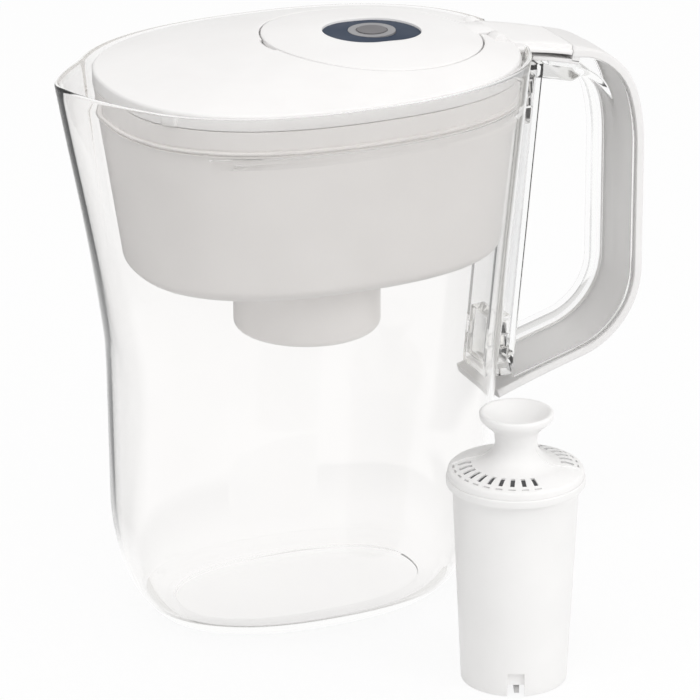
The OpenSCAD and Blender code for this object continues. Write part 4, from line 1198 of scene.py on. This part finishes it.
# %% Spine behind the jug
spine_half_w, spine_r, barb_h, lug_h, lug_gap = 12.0, 1.2, 6.0, 22.0, 2
spine_top = top_station(rim_back + spine_depth)[1] - under_plate - 2
spine_foot = low_station(shoulder_back + spine_depth + 4)[1] + core_top + 0.6
spine_low, spine_high, spine_in = spine_foot + core_wall, spine_top - core_wall, spine_depth - core_wall


def spine_ring(z, hollow):
    """A U in plan, open to the jug. It is filled in at the top and the foot."""
    back = jug_reach(z)[1] + seat
    inner, floor_in = spine_half_w - core_wall, mix(0.05, spine_in, hollow)
    half = [(0.0, floor_in), (inner, floor_in), (inner + 0.02, 0.0), (spine_half_w, 0.0)]
    half += [(spine_half_w - spine_r * (1 - c), spine_depth - spine_r * (1 - s)) for s, c in quarter(5)]
    return np.array([(back + d, y, z) for y, d in mirrored(half + [(0.0, spine_depth)])])


spine_rings = [spine_ring(spine_foot, 0), spine_ring(spine_low, 0)]
spine_rings += [spine_ring(z, 1) for z in np.linspace(spine_low + 0.1, spine_high - 0.1, 24)]
spine_rings += [spine_ring(spine_high, 0), spine_ring(spine_top, 0)]
spine = skin_piece("handle_spine", soft_ends(spine_rings, 0.3), spine_clear, "clear_handle", "jug_body")
lug_feet = [spine_low + lug_gap, spine_high - lug_gap - lug_h]
through, window_size = 60, (spine_depth / 2 + 1, barb_h + 2 * fit)
windows = [rounded_block((window_size[0], through, window_size[1]),
                         (jug_reach(foot + lug_h / 2)[1] + spine_in / 2, 0, foot + lug_h / 2), 0, 0.3)
           for foot in lug_feet]
cut(spine, windows)

# %% [markdown]
# The two blocks on the jug's back carry the barbs that hold the spine. They belong to
# the jug's moulding. Each is a block that leans with the wall.

# %% Blocks behind the jug
lug_half_w, lug_reach = spine_half_w - core_wall - fit, spine_in - fit
barb_size = (lug_reach / 2, core_wall * 0.6, barb_h)


def leaning_block(foot):
    verts, faces = rounded_block((lug_reach - 0.1, 2 * lug_half_w, lug_h), (0, 0, 0), 0, 0.6)
    lean = (jug_reach(foot + lug_h)[1] - jug_reach(foot)[1]) / lug_h
    middle_x = jug_reach(foot + lug_h / 2)[1] + 0.1 + lug_reach / 2
    return [(x + middle_x + lean * z, y, z + foot + lug_h / 2) for x, y, z in verts], faces


lugs = [leaning_block(foot) for foot in lug_feet]
barbs = [rounded_block(barb_size, (jug_reach(foot + lug_h / 2)[1] + lug_reach / 2,
                                   side * (lug_half_w + barb_size[1] / 2), foot + lug_h / 2), 0, 0.4)
         for foot in lug_feet for side in (-1, 1)]
finish_piece("jug_lugs", *gathered(lugs + barbs), *jug_look, 30.0)

# %% [markdown]
# ## Cartridge
# The cartridge's shell and cap are both turned shapes. The shell has slots in its floor,
# where the water leaves, and a notch at its foot with a shallow recess over it.

# %% Cartridge shell
cart_x, cart_y, cart_body_h, flange_r = 46.5, -117.0, 90.0, 28.6
cart_top_r, cart_foot_r, cart_wall, flange_t, fillet = 26.2, 22.0, 1.6, 3.6, 1.6
cart_floor, cart_floor_t, notch_w, notch_angle = 5.0, 1.6, 7.0, math.radians(-114)
axis_r, under_flange, foot_in = 0.02, cart_body_h - flange_t, cart_foot_r - cart_wall


def shell_r(z):
    return mix(cart_foot_r, cart_top_r, z / cart_body_h)


def turned_block(size, r, z, angle, edge=0.15):
    """A block at a radius and an angle from the cartridge's axis."""
    return rounded_block(size, (cart_x + r * math.cos(angle), cart_y + r * math.sin(angle), z), angle, edge)


shell_profile = [(axis_r, cart_floor), (shell_r(cart_floor) - cart_wall, cart_floor), (foot_in + 0.1, 0.3),
                 (foot_in + 0.4, 0), (cart_foot_r - 0.5, 0), (cart_foot_r - 0.1, 0.15), (cart_foot_r, 0.5)]
shell_profile += [(shell_r(z), z) for z in np.linspace(4, under_flange - 2.5, 12)]
shell_profile += [(cart_top_r + fillet * (1 - c), under_flange - fillet * (1 - s))
                  for s, c in quarter(6)[1:]]
shell_profile += [(flange_r - 0.7, under_flange), (flange_r - 0.2, under_flange + 0.2),
                  (flange_r, under_flange + 0.7), (flange_r, cart_body_h - 0.5),
                  (flange_r - 0.4, cart_body_h), (cart_top_r - cart_wall, cart_body_h)]
shell_profile += [(shell_r(z) - cart_wall, z)
                  for z in np.linspace(under_flange, cart_floor + cart_floor_t, 6)]
shell_profile += [(axis_r, cart_floor + cart_floor_t)]
cart_look, cart_axis = (cartridge_white, "cartridge_white", "cartridge_body"), (cart_x, cart_y)
cart_shell = skin_piece("cartridge_body", lathe(shell_profile, cart_axis, 144), *cart_look)
slot_step, outlet_size, outlet_r = 45, (9, 2, 12), 13.5
notch_size, recess_size, recess_r = (12, notch_w, 6), (4, notch_w, 14), foot_in + 2.5
floor_slots = [turned_block(outlet_size, outlet_r, cart_floor + 1, math.radians(a + slot_step / 2))
               for a in range(0, 360, slot_step)]
foot_notch = turned_block(notch_size, cart_foot_r, 2, notch_angle, 0.3)
recess = turned_block(recess_size, recess_r, 3.5, notch_angle, 0.5)
cut(cart_shell, floor_slots + [foot_notch])
cut(cart_shell, [recess])
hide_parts("cartridge_shell")

# %% [markdown]
# The cap is a cone with a dished knob to pull it by. It has two groups of narrow inlet
# slots, where the water enters, and a short dash outside each slot. Its profile starts in
# the dish, goes over the knob, down the neck and the cone to the flange, and comes back
# inside. The heights are above the cap's foot.

# %% Cartridge cap
cap_foot, cap_h, knob_r, neck_r, neck_h = cart_body_h + 0.05, 28.0, 15.2, 8.6, 15.0
funnel_r, funnel_h, collar_in, rim_out = 20.5, 5.4, cart_top_r - cart_wall, flange_r - 0.6
cone_r, cone_foot_h = flange_r - 1.9, 3.3
dish = [(axis_r, -4), (3, -3.95), (6, -3.5), (9, -2.5), (11.5, -1.4), (13.2, -0.4), (14, 0)]
knob = [(14.6, -0.1), (15.05, -0.45), (knob_r, -0.9), (15.15, -1.8), (14.9, -2.9), (14.5, -3.6),
        (13.4, -4.6)]
cap_profile = [(r, cap_h + below) for r, below in dish + knob]
cap_profile += [(neck_r + 3, neck_h + 6.7), (neck_r + 1.5, neck_h + 5.5), (neck_r + 0.4, neck_h + 3.6)]
cap_profile += [(mix(neck_r, funnel_r, 1 - c), mix(neck_h, funnel_h, s)) for s, c in quarter(14)]
cap_profile += [(cone_r, cone_foot_h), (flange_r - 1.2, 3.05), (flange_r - 0.75, 2.6), (rim_out, 2.0),
                (rim_out, 0), (collar_in - 0.2, 0), (collar_in - 0.2, -2), (collar_in - 1.6, -2),
                (collar_in - 1.6, 1.4), (funnel_r, 3.4), (neck_r, 6), (axis_r, 6)]
cap_profile = [(r, z + cap_foot) for r, z in cap_profile]
cap = skin_piece("cartridge_top", lathe(cap_profile, cart_axis), *cart_look)
slot_sides, slots_per_side, slot_pitch = (30, 210), 10, math.radians(12.1)
slot_start_r, slot_len, slot_w = 18.3, 5.4, 1.8
slot_turns = [math.radians(side) + (i - (slots_per_side - 1) / 2) * slot_pitch
              for side in slot_sides for i in range(slots_per_side)]
slot_mid_r, dash_r, dash_size = slot_start_r + slot_len / 2, flange_r - 3.1, (0.85, 3.0, 3.0)
inlets = [turned_block((slot_len, slot_w, 12), slot_mid_r, cap_foot + 5, a) for a in slot_turns]
dashes = [turned_block(dash_size, dash_r, cap_foot + 3.1, a, 0.1) for a in slot_turns]
cut(cap, inlets + dashes)
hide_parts("cartridge_cap")

# %% [markdown]
# A dark grey sheet lies just under the inlet slots: painted shade that makes the slots
# read dark. Two low ribs run from the neck to the flange and part the two groups of slots.

# %% Painted shade under the slots, and ribs
slot_shade_drop, slot_shade_t, rib_half_w, rib_h = 0.7, 0.3, 0.45, 0.45
rib_turns, rib_swing = (152, 332), math.radians(-22)


def cone_z(r):
    """Height of the cap's outer cone at a radius."""
    if r < funnel_r:
        share = (r - neck_r) / (funnel_r - neck_r)
        return cap_foot + mix(neck_h, funnel_h, math.sqrt(max(0.0, 1 - (1 - share) ** 2)))
    return cap_foot + mix(funnel_h, cone_foot_h, (r - funnel_r) / (cone_r - funnel_r))


def rib(angle, swing):
    """A low rounded rib on the cone, whose direction turns a little on the way out."""
    turns = np.linspace(0, 2 * np.pi, 12, endpoint=False)
    aside, up = rib_half_w * np.cos(turns), rib_h * np.sin(turns)
    rings = []
    for r in np.linspace(neck_r + 0.4, flange_r - 2.4, 26):
        a = angle + swing * (1 - (r - neck_r) / (flange_r - neck_r))
        rings.append(ring_at(cart_x + r * math.cos(a) - aside * math.sin(a),
                             cart_y + r * math.sin(a) + aside * math.cos(a), cone_z(r) + up))
    return rings


# The sheet is painted shade: a dark layer a little under the cone, seen through the slots.
slot_shade_r = np.linspace(slot_start_r - 0.5, slot_start_r + slot_len + 0.5, 5)
slot_shade_profile = [(r, cone_z(r) - slot_shade_drop) for r in slot_shade_r]
slot_shade_profile += [(r, z - slot_shade_t) for r, z in slot_shade_profile[::-1]]
slot_shade_rings = lathe(slot_shade_profile, cart_axis, 144)
skin_piece("slot_shade_sheet", slot_shade_rings, slot_shade_grey, "screen_mesh", "cartridge_body", loop=True)
ribs = [rib(math.radians(angle), rib_swing) for angle in rib_turns]
skin_piece("cap_ribs", ribs, *cart_look)

# %% [markdown]
# ## Inner pieces
# The rest are small parts that the CAD already shapes as they are: the indicator's
# housing, ring, button, board, cell and seal, and the cartridge's screens and carbon.
# They only get their finishes.

# %% Finishes on the remaining CAD nodes
node_finish = {
    "indicator_housing": inner_white, "light_ring": ring_grey, "indicator_button": button_grey,
    "circuit_board": board_green, "switch": steel, "leds": lens_yellow, "coin_cell": steel,
    "cell_clip": brass, "indicator_back": inner_white, "indicator_seal": seal_black,
    "inlet_screen": screen_white, "filter_media": carbon, "outlet_screen": screen_white,
}
for name, finish in node_finish.items():
    slots = nodes[name].material_slots
    if not slots:
        nodes[name].data.materials.append(finish)
    for one in slots:
        one.material = finish
print("dressed CAD nodes:", len(node_finish))

# %% [markdown]
# The colours are shown as they are, without a film curve, because a film curve would grey
# the whites.

# %% View
bpy.context.scene.view_settings.view_transform = "Standard"
